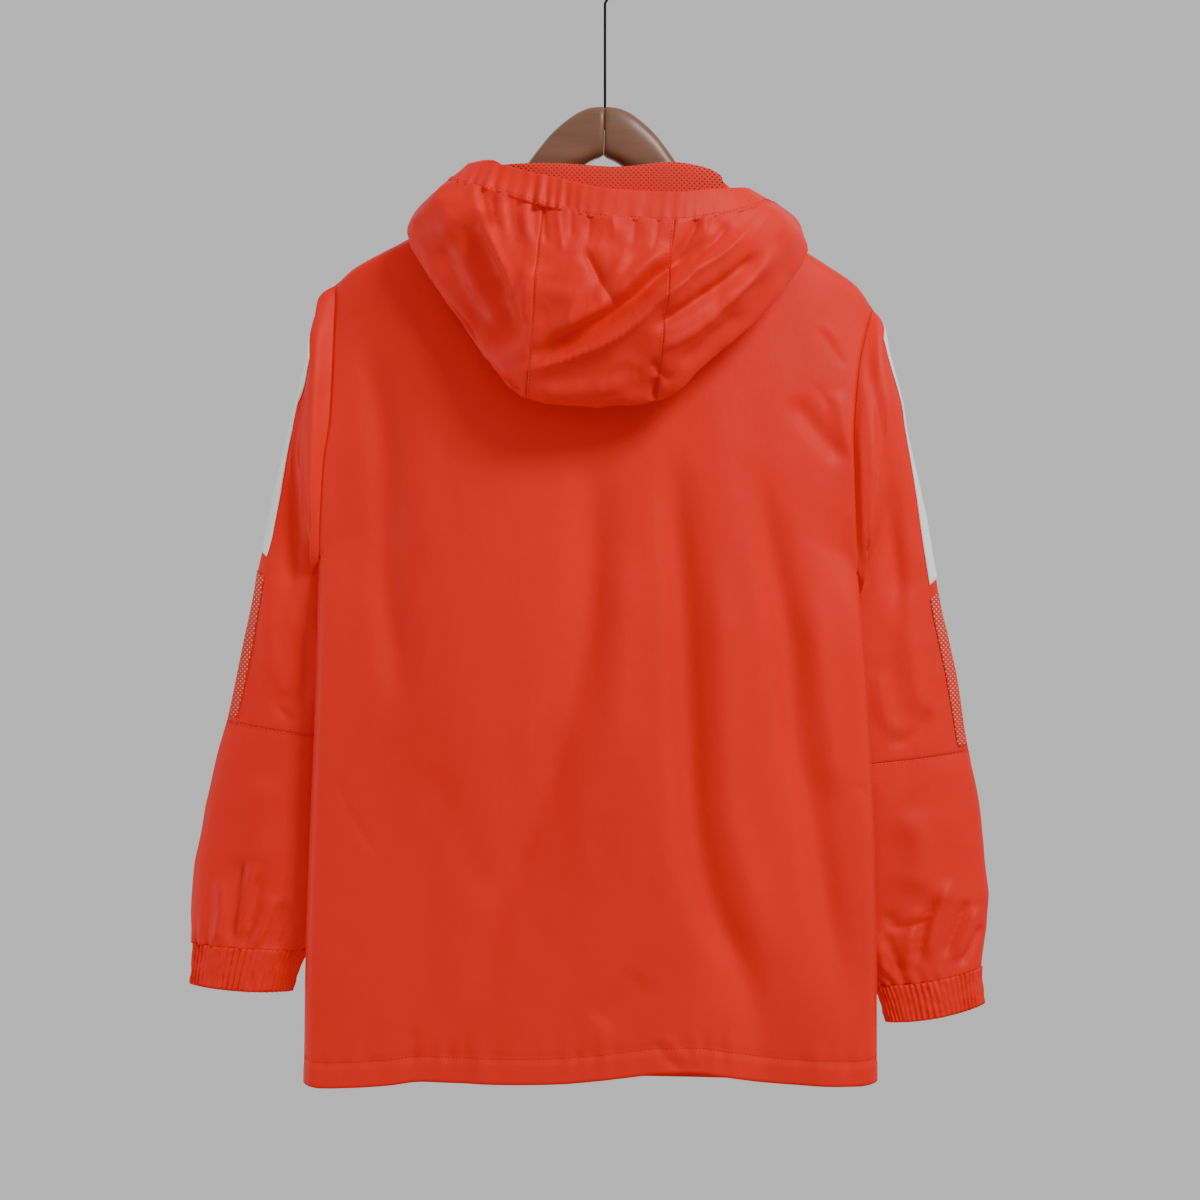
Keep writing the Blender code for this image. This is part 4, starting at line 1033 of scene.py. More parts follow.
UPPER_ENDS = (0, ELBOW_RING + SEAM_LAP)
LOWER_ENDS = (ELBOW_RING - SEAM_LAP, CUFF_RING + SEAM_LAP)
uppers, lowers = {}, {}
for side in SIDES:
    uppers[side] = make_sleeve_panel(side, "sleeve_upper_", UPPER_ENDS, UPPER_SIZE,
                                     (ELBOW_ABOVE,))
    lowers[side] = make_sleeve_panel(side, "sleeve_lower_", LOWER_ENDS, LOWER_SIZE,
                                     (ELBOW_BELOW, CUFF_ABOVE))

# %% [markdown]
# ## Elastic cuffs
# The cuff is a doubled band of nylon with elastic inside. Let go, the elastic shortens and the
# cloth over it stands up in even ribs. The ribs are a wave round the ring, and a slower wave
# keeps them from looking machined.

# %% Cuffs
CUFF_SIZE = (14, 14 * CUFF_GATHERS)
CUFF_RIB = 0.0011
CUFF_CRUSH = 0.0011
CUFF_SHELL = 0.0012


def make_cuff(side):
    rings = rings_of[side]
    grid = tube(rings, CUFF_RING - SEAM_LAP, END_RING, *CUFF_SIZE)
    turn = np.linspace(0, 2 * math.pi, CUFF_SIZE[1], endpoint=False)
    down = np.linspace(0, 1, CUFF_SIZE[0])
    lean = 0.25 * np.sin(5 * turn + side)
    ribs = np.sin(2 * CUFF_GATHERS * turn[None, :] + lean[None, :] * 6 * down[:, None])
    slow = 0.6 + 0.4 * np.sin(7 * turn + 2 * side)[None, :]
    pinched = 1 - 0.55 * np.exp(-((down - 0.5) / 0.12) ** 2)[:, None]
    raised = CUFF_RIB * ribs * slow * pinched + crumples(grid, 0.011, CUFF_CRUSH, 3 + side)
    grid = lifted(grid, raised, ring=True)
    cloth("cuff_" + SIDES[side], grid, drawn_nylon, CUFF_SHELL, ring=True)


for side in SIDES:
    make_cuff(side)

# %% [markdown]
# ## Strips on the sleeves
# A plain white woven tape runs down the outer ridge of each upper sleeve, and below it a
# perforated mesh strip runs on to the elbow seam. They are sewn on top, so each is cut from the
# sleeve's own points moved outward, and follows every fold of the cloth under it.

# %% Tapes and mesh strips
STRIP_WALL = 0.0008
STRIP_GAP = 0.0003
TAPE_SIZE = (90, 14)       # points along and across
MESH_SIZE = (60, 8)


def strip_of(grid, rows, cols, count, lean=0.0):
    """A patch of a tube's surface at fractional rows and columns, leaning at its top."""
    total = grid.shape[1]
    patch = np.empty((*count, 3))
    for i, r in enumerate(np.linspace(*rows, count[0])):
        k = min(int(r), len(grid) - 2)
        line = grid[k] * (1 - (r - k)) + grid[k + 1] * (r - k)
        shift = lean * (1 - i / (count[0] - 1)) * UPPER_SIZE[1] / RING_SIDES
        for j, c in enumerate(np.linspace(*cols, count[1]) + shift):
            first, share = math.floor(c), c - math.floor(c)
            patch[i, j] = line[first % total] * (1 - share) + line[(first + 1) % total] * share
    return patch


def lay_strip(side, name, ring_ends, steps, finish, count, lean=0.0):
    rows = [ring / UPPER_ENDS[1] * (UPPER_SIZE[0] - 1) for ring in ring_ends]
    cols = [step * UPPER_SIZE[1] / RING_SIDES for step in steps]
    raised = lifted(uppers[side], np.full(UPPER_SIZE, STRIP_GAP), ring=True)
    patch = strip_of(raised, rows, cols, count, lean)
    cloth(name + SIDES[side], patch, finish, STRIP_WALL, facing=(side, 0, 0),
          outward=True)


for side in SIDES:
    lay_strip(side, "sleeve_tape_", TAPE_RINGS[side], TAPE_STEPS, white_tape,
              TAPE_SIZE, TAPE_LEAN[side])
    lay_strip(side, "sleeve_mesh_", MESH_RINGS[side], MESH_STEPS, sleeve_mesh,
              MESH_SIZE)

# %% [markdown]
# ## The hood's shape
# The hood hangs down the back, inside out of how it is worn: its cloth rises from the neck,
# folds over, drops down behind, turns at its lowest edge and comes back up to the face edge.
# w runs round the neck, from -1 at the left of the zip, through 0 at the back, to 1. At each w
# six guide points give the cloth's line from the neck seam to the face edge.

# %% Hood sizes and points
# w, then x, y, z of the top fold, the outer fold and the face edge, in millimetres
HOOD_STATIONS = (
    (-1.00, (-10, 56, -282), (-11, 59, -273), (-12, 57, -262)),
    (-0.80, (-66, 50, -240), (-80, 52, -234), (-68, 52, -218)),
    (-0.65, (-104, 16, -211), (-138, 12, -228), (-96, 24, -193)),
    (-0.50, (-98, -22, -208.5), (-169, -24, -262.5), (-116, -36, -206.2)),
    (-0.38, (-76, -40, -208), (-127, -48, -333), (-90, -62, -211)),
    (-0.25, (-44, -44, -208.5), (-66, -68, -408), (-50, -83, -223.5)),
    (0.00, (8, -45, -211.5), (-17, -70, -414.8), (6, -94, -236.5)),
    (0.25, (58, -43, -207.6), (43, -68, -410.6), (60, -92, -238.5)),
    (0.38, (88, -37, -212), (96, -58, -368), (90, -82, -234.5)),
    (0.50, (107, -24, -224.5), (172, -26, -277), (119, -56, -230)),
    (0.65, (100, 16, -221), (150, 14, -240), (126, 20, -222)),
    (0.80, (66, 50, -244), (82, 52, -240), (72, 52, -226)),
    (1.00, (10, 56, -282), (11, 59, -273), (12, 57, -262)),
)
HOOD_SEAM_W = 0.25         # of the seams between the hood's panels
HOOD_END_W = 0.998         # where the side panels end, by the zip
HOOD_NEAR_BULGE = 0.026    # how far the near layer swells out
HOOD_FAR_BULGE = 0.004     # and the layer under it
HOOD_HANG = (0.72, 0.42)   # |w| where the hood begins to hang down, and hangs fully
HOOD_KNOTS = (0.0, 0.14, 0.32, 0.52, 0.76, 1.0)    # its guide points along a line
HOOD_START = 0.003         # of a line's length, free at the neck seam
CASING_WIDTH = 0.025
CASING_MOST = 0.55         # of the near layer that the casing may take
CASING_LAP = 0.008         # of a line's length, where the casing lies over the panels


def neck_point(w):
    """A place on the neck seam."""
    angle = math.pi * w
    reach = max(NECK_HALF_WIDTH * abs(math.sin(angle)), ZIP_EDGE if abs(w) > 0.5 else 0.0)
    x = math.copysign(reach, w)
    neck = neck_open(x)
    behind = abs(w) < 0.5
    depth = -NECK_BACK_DEPTH if behind else NECK_FRONT_DEPTH
    drop = NECK_BACK_DROP if behind else NECK_FRONT_DROP
    return (x, middle_y(x, 0) + depth * neck, neck_side_z(x) - drop * neck ** 2)


def hood_line(w):
    """Six guide points of the hood's cloth from the neck seam to the face edge."""
    top, fold, face = (looked_up(HOOD_STATIONS, w, index) / 1000 for index in (1, 2, 3))
    hang = ease((HOOD_HANG[0] - abs(w)) / (HOOD_HANG[0] - HOOD_HANG[1]))
    far = (top + fold) / 2 + np.array((0, HOOD_FAR_BULGE * hang, 0))
    near = (fold + face) / 2 - np.array((0, HOOD_NEAR_BULGE * hang, 0))
    return np.array((neck_point(w), top, far, fold, near, face))


def casing_start(line):
    """Where the casing's seam lies along a line of the hood's cloth."""
    outer = np.linalg.norm(line[4] - line[3]) + np.linalg.norm(line[5] - line[4])
    return 1 - (1 - HOOD_KNOTS[3]) * min(CASING_WIDTH / outer, CASING_MOST)


def hood_grid(ws, shares, casing=False):
    """Points of the panels, or of the casing; a share is of the way along each line."""
    lines = [hood_line(w) for w in ws]
    starts = [casing_start(line) for line in lines]
    spans = [(s - CASING_LAP, 1.0) if casing else (HOOD_START, s + CASING_LAP) for s in starts]
    return np.array([[smooth(HOOD_KNOTS, line, first + (last - first) * share)
                      for line, (first, last) in zip(lines, spans)] for share in shares])


print("hood, from neck to face edge at the back: %.3f m" % length_of(hood_line(0.0)))

# %% [markdown]
# ## Folds of the hood
# The hood's own weight pulls its near layer into one long fold that starts at the left seam's
# foot and rises to the right, with a second one beside it. On the left the cloth sinks towards
# the seam. Under the casing, short gathers drop from the stitches, most of them on the left
# where the cord is drawn tighter.

# %% Hood panels
HOOD_FACING = (0, 0, -1)
HOOD_ROWS = 150
HOOD_CENTRE_COLUMNS = 90
HOOD_SIDE_COLUMNS = 110
HOOD_CRUMPLE = 0.0021
HOOD_DRAPE = 2.2           # how much deeper the folds are than their tables say
HOOD_CREASES = (
    soft(6.2, -5.2, (-73, -382), (-48, -370), (-25, -359), (0, -346), (26, -326), (45, -308),
         (71, -290), (96, -272)),
    crisp(5.2, 4.4, (-79, -388), (-42, -380), (0, -364), (28, -346), (44, -332), (65, -315),
          (88, -294)),
    soft(7, 3, (-52, -358), (-20, -345), (6, -330), (30, -306), (58, -284)),
    soft(5.2, -4.2, (36, -356), (61, -341), (79, -329), (96, -318), (115, -302), (133, -284)),
    crisp(5.6, 3.6, (34, -374), (71, -354), (105, -322), (127, -300), (148, -274)),
    crisp(5, 2.6, (60, -312), (84, -300), (108, -282), (124, -262)),
    soft(15, -8.2, (-128, -252), (-116, -274), (-103, -296), (-93, -322), (-86, -350),
         (-81, -374)),
    soft(9, -4, (-146, -262), (-133, -296), (-118, -330), (-100, -362)),
    crisp(5.2, 4.8, (-106, -258), (-94, -282), (-82, -308), (-74, -344)),
    crisp(5.2, -3, (-20, -284), (-6, -310), (4, -328), (14, -340)),
    soft(6, 1.8, (18, -290), (6, -312), (-10, -334)),
    soft(6, 2, (-60, -300), (-66, -324), (-70, -352)),
    crisp(4.4, -2.4, (79, -260), (71, -276), (54, -296)),
    crisp(3.6, -2.2, (104, -262), (92, -280), (70, -300)),
    crisp(3.4, -2.8, (42, -392), (42, -412)),
    crisp(4, -2.2, (40, -376), (44, -386), (56, -396)),
    soft(8, 2.4, (-66, -394), (-38, -402), (-4, -400), (30, -390)),
    crisp(3.8, -2.6, (-84, -392), (-78, -400), (-70, -406)),
    soft(7, -2.6, (60, -384), (88, -362), (116, -330)),
    soft(6, 1.8, (98, -374), (128, -338), (154, -300)),
)
GATHER_RISE = 0.016        # how far a gather starts above its place in the table
# x and z of each gather under the casing, how far it drops and its slant, in millimetres
GATHERS = (
    (-112, -238, 20, 6), (-104, -244, 26, 10), (-96, -248, 30, 10), (-88, -251, 22, 6),
    (-81, -253, 34, 8), (-74, -255, 24, 4), (-67, -257, 30, 6), (-60, -259, 20, 2),
    (-52, -261, 26, 4), (-40, -262, 32, 6), (-28, -263, 18, 0), (-12, -264, 22, -3),
    (6, -265, 16, 2), (26, -266, 20, -4), (46, -266, 24, -8), (64, -264, 26, -12),
    (80, -261, 30, -16), (94, -257, 22, -12),
)
GATHER_WIDTH = 0.0028
GATHER_DEPTHS = (0.0020, -0.0026, -0.0026)     # a ridge, then two hollows, and again
WEAK_BEYOND = -0.03        # x where the casing stops being drawn tight
WEAKENED = 0.55


def gather_folds():
    folds = []
    for index, (x, z, drop, slant) in enumerate(np.array(GATHERS) / 1000):
        path = ((x, z + GATHER_RISE), (x + slant / 2, z - drop / 2), (x + slant, z - drop))
        depth = GATHER_DEPTHS[index % 3] * (1.0 if x < WEAK_BEYOND else WEAKENED)
        folds.append((path, GATHER_WIDTH, depth, "crisp"))
    return folds


def hood_seam_dip(points, seams):
    """The groove beside a hood seam, at the first or last line of points."""
    along = distances(points[HOOD_ROWS // 2])
    dip = np.zeros(len(along))
    for sewn, away in zip(seams, (along, along[-1] - along)):
        if sewn:
            dip += SEAM_DIP * np.exp(-away / SEAM_DIP_REACH)
    return dip[None, :]


def make_hood_panel(node, ws, seams):
    points = hood_grid(ws, np.linspace(0, 1, HOOD_ROWS))
    creases = deepened(HOOD_CREASES, HOOD_DRAPE) + gather_folds()
    raised = folds_on(points, creases, -1, facing=HOOD_FACING)
    raised += ripples(points, 0.032, 0.0016, seed=11)
    raised += (crumples(points, 0.036, HOOD_CRUMPLE, 12)
               + crumples(points, 0.017, HOOD_CRUMPLE / 2.5, 13))
    at_ends = fade_at(HOOD_ROWS, 0.05, last=False) * fade_at(HOOD_ROWS, 0.012, first=False)
    raised = raised * (0.12 + 0.88 * at_ends[:, None]) - hood_seam_dip(points, seams)
    points = lifted(points, raised, facing=HOOD_FACING)
    cloth(node, points, drawn_nylon, facing=HOOD_FACING)
    return points


centre_ws = np.linspace(-HOOD_SEAM_W, HOOD_SEAM_W, HOOD_CENTRE_COLUMNS)
side_ws = np.linspace(HOOD_SEAM_W, HOOD_END_W, HOOD_SIDE_COLUMNS)
hood_centre = make_hood_panel("hood_centre", centre_ws, (True, True))
for side in SIDES:
    make_hood_panel("hood_side_" + SIDES[side], side * side_ws, (True, False))

# %% [markdown]
# ## Casing and lining
# The face edge is folded double and stitched down as a casing. It is drawn up, most of all at
# the left, so it ripples along its stitches and lies smoother at its rim. Inside the hood a red
# mesh lining shows above the rim, so the lining follows the same lines a little further in.

# %% Casing and lining
CASING_SHELL = 0.0018
CASING_ROWS = 16
CASING_COLUMNS = 640
CASING_FACING = (0, -1, 0)
CASING_PROUD = 0.0012      # how far the doubled cloth stands off the panels
CASING_WAVE = 0.0017
CASING_CRUMPLE = 0.0014
CASING_SWELL = 0.0016
DRAWN_AT = -0.30           # w where it is drawn tightest
DRAWN_REACH = 0.15
DRAWN_LEAST = 0.18
STITCHED_LEAST = 0.22      # share of the ripple that is left at the rim
STITCHED_REACH = 0.42
LINING_SIZE = (60, 120)
LINING_WALL = 0.0008
LINING_RIPPLE = 0.0005
LINING_GAP = 0.0014
LINING_REACH = (3 / 13, 9 / 19)    # of a side panel's width, and of the way to the casing


def make_casing():
    ws = np.linspace(-HOOD_END_W, HOOD_END_W, CASING_COLUMNS)
    shares = np.linspace(0, 1, CASING_ROWS)
    points = hood_grid(ws, shares, casing=True)
    along = distances(points[0])
    tight = np.exp(-((ws - DRAWN_AT) / DRAWN_REACH) ** 2)
    drawn = DRAWN_LEAST + (1 - DRAWN_LEAST) * tight
    wave = gathered(along, 0.0017, 2.6, 0.017) + 0.8 * gathered(along, 0.0031, 1.5, 0.023)
    near_stitches = STITCHED_LEAST + (1 - STITCHED_LEAST) * np.exp(-shares / STITCHED_REACH)
    raised = CASING_WAVE * np.outer(near_stitches, drawn * wave) + CASING_PROUD
    raised += crumples(points, 0.030, CASING_CRUMPLE, 31) * drawn
    raised += np.outer(shares, CASING_SWELL * np.sin(along / 0.017 + 0.9) * drawn)
    points = lifted(points, raised, facing=CASING_FACING)
    cloth("hood_casing", points, drawn_nylon, CASING_SHELL, facing=CASING_FACING)
    return points


def make_lining():
    reach = HOOD_SEAM_W + (HOOD_END_W - HOOD_SEAM_W) * LINING_REACH[0]
    rows, columns = LINING_SIZE
    points = hood_grid(np.linspace(-reach, reach, columns), np.linspace(0, LINING_REACH[1], rows))
    raised = ripples(points, 0.024, LINING_RIPPLE, seed=21) - LINING_GAP
    points = lifted(points, raised, facing=HOOD_FACING)
    cloth("hood_lining", points, lining_mesh, LINING_WALL, facing=HOOD_FACING)


casing = make_casing()
make_lining()

# %% [markdown]
# ## Stitches
# Rows of stitches hold every hem and casing down, and the eye reads them as fine dashes. Each
# stitch here is a small pointed bead laid along the cloth. A row is one mesh, made by walking
# along a line of the cloth and setting a bead every few millimetres.

# %% Stitch helpers
STITCH_PITCH = 0.0032
STITCH_LENGTH = 0.0023
STITCH_RADIUS = 0.00032
STITCH_SIDES = 6
STITCH_RAISED = 0.6        # of its radius, from the cloth to its middle


def walk(line, normals, pitch):
    """Places every pitch along a line, with the direction and the normal there."""
    along = distances(line)
    steps = np.diff(along)
    places = []
    for at in np.arange(pitch / 2, along[-1], pitch):
        k = min(int(np.searchsorted(along, at)) - 1, len(line) - 2)
        f = (at - along[k]) / max(steps[k], 1e-9)
        normal = normals[k] * (1 - f) + normals[k + 1] * f
        places.append((line[k] * (1 - f) + line[k + 1] * f,
                       (line[k + 1] - line[k]) / max(steps[k], 1e-9),
                       normal / max(np.linalg.norm(normal), 1e-9)))
    return places


def stitch_row(name, rows):
    """One mesh of beads along several lines; each line comes with its normals."""
    verts, faces = [], []
    for line, normals in rows:
        for place, direction, normal in walk(line, normals, STITCH_PITCH):
            beside = np.cross(direction, normal)
            middle = place + normal * STITCH_RADIUS * STITCH_RAISED
            first = len(verts)
            last = first + STITCH_SIDES + 1
            verts.append(tuple(middle - direction * STITCH_LENGTH / 2))
            for k in range(STITCH_SIDES):
                angle = 2 * math.pi * k / STITCH_SIDES
                outward = beside * math.cos(angle) + normal * math.sin(angle)
                verts.append(tuple(middle + outward * STITCH_RADIUS))
            verts.append(tuple(middle + direction * STITCH_LENGTH / 2))
            for k in range(STITCH_SIDES):
                here, after = first + 1 + k, first + 1 + (k + 1) % STITCH_SIDES
                faces += [(first, after, here), (last, here, after)]
    add_piece(name, smooth_mesh(name, verts, faces), thread)
    print("%-26s %4d stitches" % (name, len(verts) // (STITCH_SIDES + 2)))


def row_above(points, distance, facing, ring=False):
    """A line across a grid at a distance above its last row, and its normals."""
    line, line_normals = [], []
    normals = normals_of(points, ring, facing)
    for c in range(points.shape[1]):
        upward = points[::-1, c]
        along = distances(upward)
        k = int(np.clip(np.searchsorted(along, distance) - 1, 0, len(along) - 2))
        f = (distance - along[k]) / (along[k + 1] - along[k])
        line.append(upward[k] * (1 - f) + upward[k + 1] * f)
        line_normals.append(normals[::-1, c][k])
    return np.array(line), np.array(line_normals)


def sideways(points):
    """The grid turned so that its last column becomes its last row."""
    return points.transpose(1, 0, 2)

# %% [markdown]
# A hem is sewn a little way in from its edge, so each row is found by its distance from the
# last row of a panel's points. Turned sideways, the same helper follows the zip and the
# hood's seams.

# %% Rows of stitches
HEM_STITCH = 0.0225        # distance of each row from its edge
ZIP_STITCH = 0.0060
CASING_STITCHES = (0.0014, 0.0036)
SEAM_STITCH = 0.0016
hem_rows = [row_above(back, HEM_STITCH, BACK_FACING)]
hem_rows += [row_above(fronts[side], HEM_STITCH, FRONT_FACING) for side in SIDES]
zip_rows = [row_above(sideways(fronts[side]), ZIP_STITCH, FRONT_FACING) for side in SIDES]
casing_rows = [row_above(casing[::-1], away, CASING_FACING) for away in CASING_STITCHES]
hood_rows = [row_above(sideways(hood_centre)[::way], SEAM_STITCH, HOOD_FACING) for way in (1, -1)]
elbow_rows = [row_above(lowers[side][::-1], SEAM_STITCH, None, ring=True) for side in SIDES]
for name, rows in (("hem", hem_rows), ("zip", zip_rows), ("casing", casing_rows),
                   ("hood_seam", hood_rows), ("elbow", elbow_rows)):
    stitch_row(name + "_stitches", rows)

# %% [markdown]
# ## The zip
# The zip is an open-end moulded one: two woven tapes behind the front edges, a row of plastic
# teeth on each, and a metal slider near the neck. Each tooth is a small block that reaches past
# the middle, and the two rows are half a step apart, so they mesh.

# %% Zip tapes and teeth
TAPE_BEHIND = 0.0017       # how far the zip lies behind the front's surface
TAPE_WALL = 0.0008
TAPE_INNER = 0.0032
TAPE_OUTER = 0.0165
TOOTH_PITCH = 0.0025
TOOTH_SIZE = (0.0033, 0.0021, 0.0014)   # across, through and along the zip
TEETH_BEHIND = 0.0022
TEETH_TOP_Z = -0.3035
ZIP_TAPE_TOP_Z = -0.3012
ZIP_GUIDE_SIZE = (160, 60) # points of the grid that gives the zip its lines
ZIP_TAPE_SIZE = (150, 9)
TOOTH_ASIDE = 0.00125      # from the zip's middle to a tooth's
TOOTH_BEVEL = 0.0003


def zip_lines():
    """The front edges and lines into each front, behind the cloth, and the zip's middle."""
    lines = {}
    for side in SIDES:
        guide = refine(coarse_front[side], *ZIP_GUIDE_SIZE, ROW_KNOTS, FRONT_KNOTS)
        behind = lifted(guide, np.full(ZIP_GUIDE_SIZE, -TAPE_BEHIND), facing=FRONT_FACING)
        step = abs(behind[-1, -1, 0] - behind[-1, -2, 0])
        reach = (TAPE_OUTER - ZIP_EDGE) / step
        k = int(reach)
        outer = behind[:, -1 - k] * (1 - reach + k) + behind[:, -2 - k] * (reach - k)
        lines[side] = (behind[:, -1], outer)
    return lines, (lines[-1][0] + lines[1][0]) / 2


edges, zip_middle = zip_lines()
across = np.array((1.0, 0.0, 0.0))
for side in SIDES:
    edge, outer = edges[side]
    inner = edge * (0, 1, 1) + zip_middle * (1, 0, 0) + side * TAPE_INNER * across
    strip = np.stack((inner, edge, outer), axis=1)[zip_middle[:, 2] < ZIP_TAPE_TOP_Z]
    cloth("zip_tape_" + SIDES[side], refine(strip, *ZIP_TAPE_SIZE), zip_tape,
          TAPE_WALL, facing=FRONT_FACING)

teeth_finish = finish_nodes("red_moulded_teeth", (0.46, 0.030, 0.018), 0.38)[0]


def rounded_block(size, bevel):
    """A small block with rounded edges, as corner places and faces."""
    bm = bmesh.new()
    bmesh.ops.create_cube(bm, size=1.0)
    bmesh.ops.scale(bm, vec=size, verts=bm.verts)
    bmesh.ops.bevel(bm, geom=bm.edges[:], offset=bevel, segments=2, affect="EDGES",
                    profile=0.5)
    verts = [v.co.copy() for v in bm.verts]
    faces = [[v.index for v in f.verts] for f in bm.faces]
    bm.free()
    return verts, faces


def make_teeth():
    block, block_faces = rounded_block(TOOTH_SIZE, TOOTH_BEVEL)
    line = zip_middle[zip_middle[:, 2] < TEETH_TOP_Z]
    line = line - np.array((0, TEETH_BEHIND - TAPE_BEHIND, 0))
    outward = np.tile(FRONT_FACING, (len(line), 1))
    verts, faces = [], []
    for number, (place, direction, _) in enumerate(walk(line, outward, TOOTH_PITCH / 2)):
        side = 1 if number % 2 else -1
        middle = Vector(place) + Vector((side * TOOTH_ASIDE, 0, 0))
        lean = math.atan2(-direction[1], -direction[2])
        turned = Matrix.Rotation(-lean, 3, "X")
        first = len(verts)
        verts += [tuple(turned @ co + middle) for co in block]
        faces += [[first + index for index in face] for face in block_faces]
    hard_piece("zip_teeth", smooth_mesh("zip_teeth", verts, faces), teeth_finish, "zip_chain")
    print("teeth:", len(verts) // len(block))


make_teeth()

# %% [markdown]
# ## Slider and pull
# The slider and its pull are die-cast metal with soft edges. Their plain blocks are already in
# place, so each visible piece starts as a copy of its block: flat faces are merged, then every
# edge is rounded with a bevel. The pull moves with its own body.

# %% Slider and pull
METAL_BEVEL = 0.00035
METAL_SPREAD = 0.20        # how much roughness varies over the metal
METAL_LEAST = 0.08         # how far below its middle value it starts


def metal(name, colour, roughness):
    finish, nodes, links, shader = finish_nodes(name, colour, roughness, 1.0)
    fine = noise_of(nodes, links, coordinates(nodes, links), 900.0, 4.0)
    worn = math_of(nodes, links, "MULTIPLY", fine, METAL_SPREAD)
    links.new(math_of(nodes, links, "ADD", worn, roughness - METAL_LEAST),
              shader.inputs["Roughness"])
    links.new(bump_of(nodes, links, fine, 0.00008, 0.5), shader.inputs["Normal"])
    return finish


def softened(node, name, finish, body):
    """A rounded copy of a plain block that stands for it."""
    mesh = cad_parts[node].data.copy()
    mesh.name = name
    mesh.materials.clear()
    bm = bmesh.new()
    bm.from_mesh(mesh)
    bmesh.ops.remove_doubles(bm, verts=bm.verts[:], dist=1e-6)
    bmesh.ops.dissolve_limit(bm, angle_limit=math.radians(2), verts=bm.verts[:],
                             edges=bm.edges[:])
    bm.to_mesh(mesh)
    bm.free()
    mesh.shade_smooth()
    piece = hard_piece(name, mesh, finish, node, body)
    edge = piece.modifiers.new("rounded edges", "BEVEL")
    edge.width = METAL_BEVEL
    edge.segments = 3
    edge.harden_normals = True


slider_metal = metal("plated_metal", (0.56, 0.56, 0.57), 0.30)
softened("zip_slider", "zip_slider_body", slider_metal, JACKET)
softened("zip_pull", "zip_pull_tab", slider_metal, PULL)
print("slider and pull made")

# %% [markdown]
# ## The wooden hanger
# Each arm is sawn from a plank, rounded over, stained brown and lacquered. Its section is a
# rounded block, tall at the middle and slim at the tip, so it is built as a loft: the same
# rounded outline at many places along the arm, with the height and thickness read from a
# short table. Grain runs along the arm.

# %% Hanger arms
HANGER_TILT = math.radians(1.45)
HANGER_TOP_Z = -0.150
ARM_END_GAP = 0.00015
ARM_SIDES = 40
ARM_STEPS = 90
ARM_SQUARENESS = 0.72
END_ROUND = 0.0012
TIP_TURNS = (0.15, 0.95, 8)     # of the quarter turn that rounds the tip: first, last, steps
TIP_LENGTH = 0.0008
TIP_SHRINK = 0.9
WOOD_SHADES = ((0.32, 0.78), (0.50, 1.00), (0.68, 1.22))
GRAIN_TURN = (0, 0.5, 0)
# x, top z, underside z, thickness; the same for both arms
HANGER_ARM = (
    (0.0000, -0.1500, -0.1935, 0.0240),
    (0.0100, -0.1508, -0.1975, 0.0240),
    (0.0200, -0.1540, -0.2040, 0.0240),
    (0.0335, -0.1630, -0.2125, 0.0236),
    (0.0460, -0.1745, -0.2200, 0.0230),
    (0.0560, -0.1870, -0.2260, 0.0220),
    (0.0700, -0.2054, -0.2362, 0.0190),
    (0.0900, -0.2224, -0.2494, 0.0158),
    (0.1300, -0.2455, -0.2700, 0.0150),
    (0.1750, -0.2732, -0.2940, 0.0135),
    (0.2050, -0.2897, -0.3090, 0.0125),
    (0.2160, -0.2985, -0.3090, 0.0100),
)


def arm_section(side, x, top, under, thick, shrink=0.0):
    """Rounded outline of an arm at one place along it."""
    middle = Vector((side * x, middle_y(x, 0), (top + under) / 2))
    pivot = Vector((0, 0, HANGER_TOP_Z))
    tilt = Matrix.Rotation(HANGER_TILT, 3, "Y")
    half_y, half_z = thick / 2 - shrink, (top - under) / 2 - shrink
    ring = []
    for k in range(ARM_SIDES):
        angle = 2 * math.pi * (k + 0.5) / ARM_SIDES
        y = math.copysign(abs(math.cos(angle)) ** ARM_SQUARENESS, math.cos(angle)) * half_y
        z = math.copysign(abs(math.sin(angle)) ** ARM_SQUARENESS, math.sin(angle)) * half_z
        ring.append(tuple(tilt @ (middle + Vector((0, y, z)) - pivot) + pivot))
    return ring


def wood(name, colour):
    """Stained wood: long stretched noise for the grain, finer streaks for the pores."""
    finish, nodes, links, shader = finish_nodes(name, colour, 0.38)
    grain = noise_of(nodes, links, coordinates(nodes, links, (0.10, 1, 1), GRAIN_TURN),
                     70.0, 5.0, 0.6)
    pores = noise_of(nodes, links, coordinates(nodes, links, (0.03, 1, 1), GRAIN_TURN), 420.0)
    links.new(ramp_of(nodes, links, grain, shades_of(colour, WOOD_SHADES)),
              shader.inputs["Base Color"])
    shader.inputs["Coat Weight"].default_value = 0.12
    shader.inputs["Coat Roughness"].default_value = 0.30
    links.new(bump_of(nodes, links, pores, 0.00012, 0.5), shader.inputs["Normal"])
    return finish


def capped(mesh):
    """The mesh of an open tube with both its ends closed."""
    bm = bmesh.new()
    bm.from_mesh(mesh)
    bmesh.ops.holes_fill(bm, edges=[e for e in bm.edges if e.is_boundary])
    bmesh.ops.recalc_face_normals(bm, faces=bm.faces[:])
    bm.to_mesh(mesh)
    bm.free()
    mesh.shade_smooth()
    return mesh


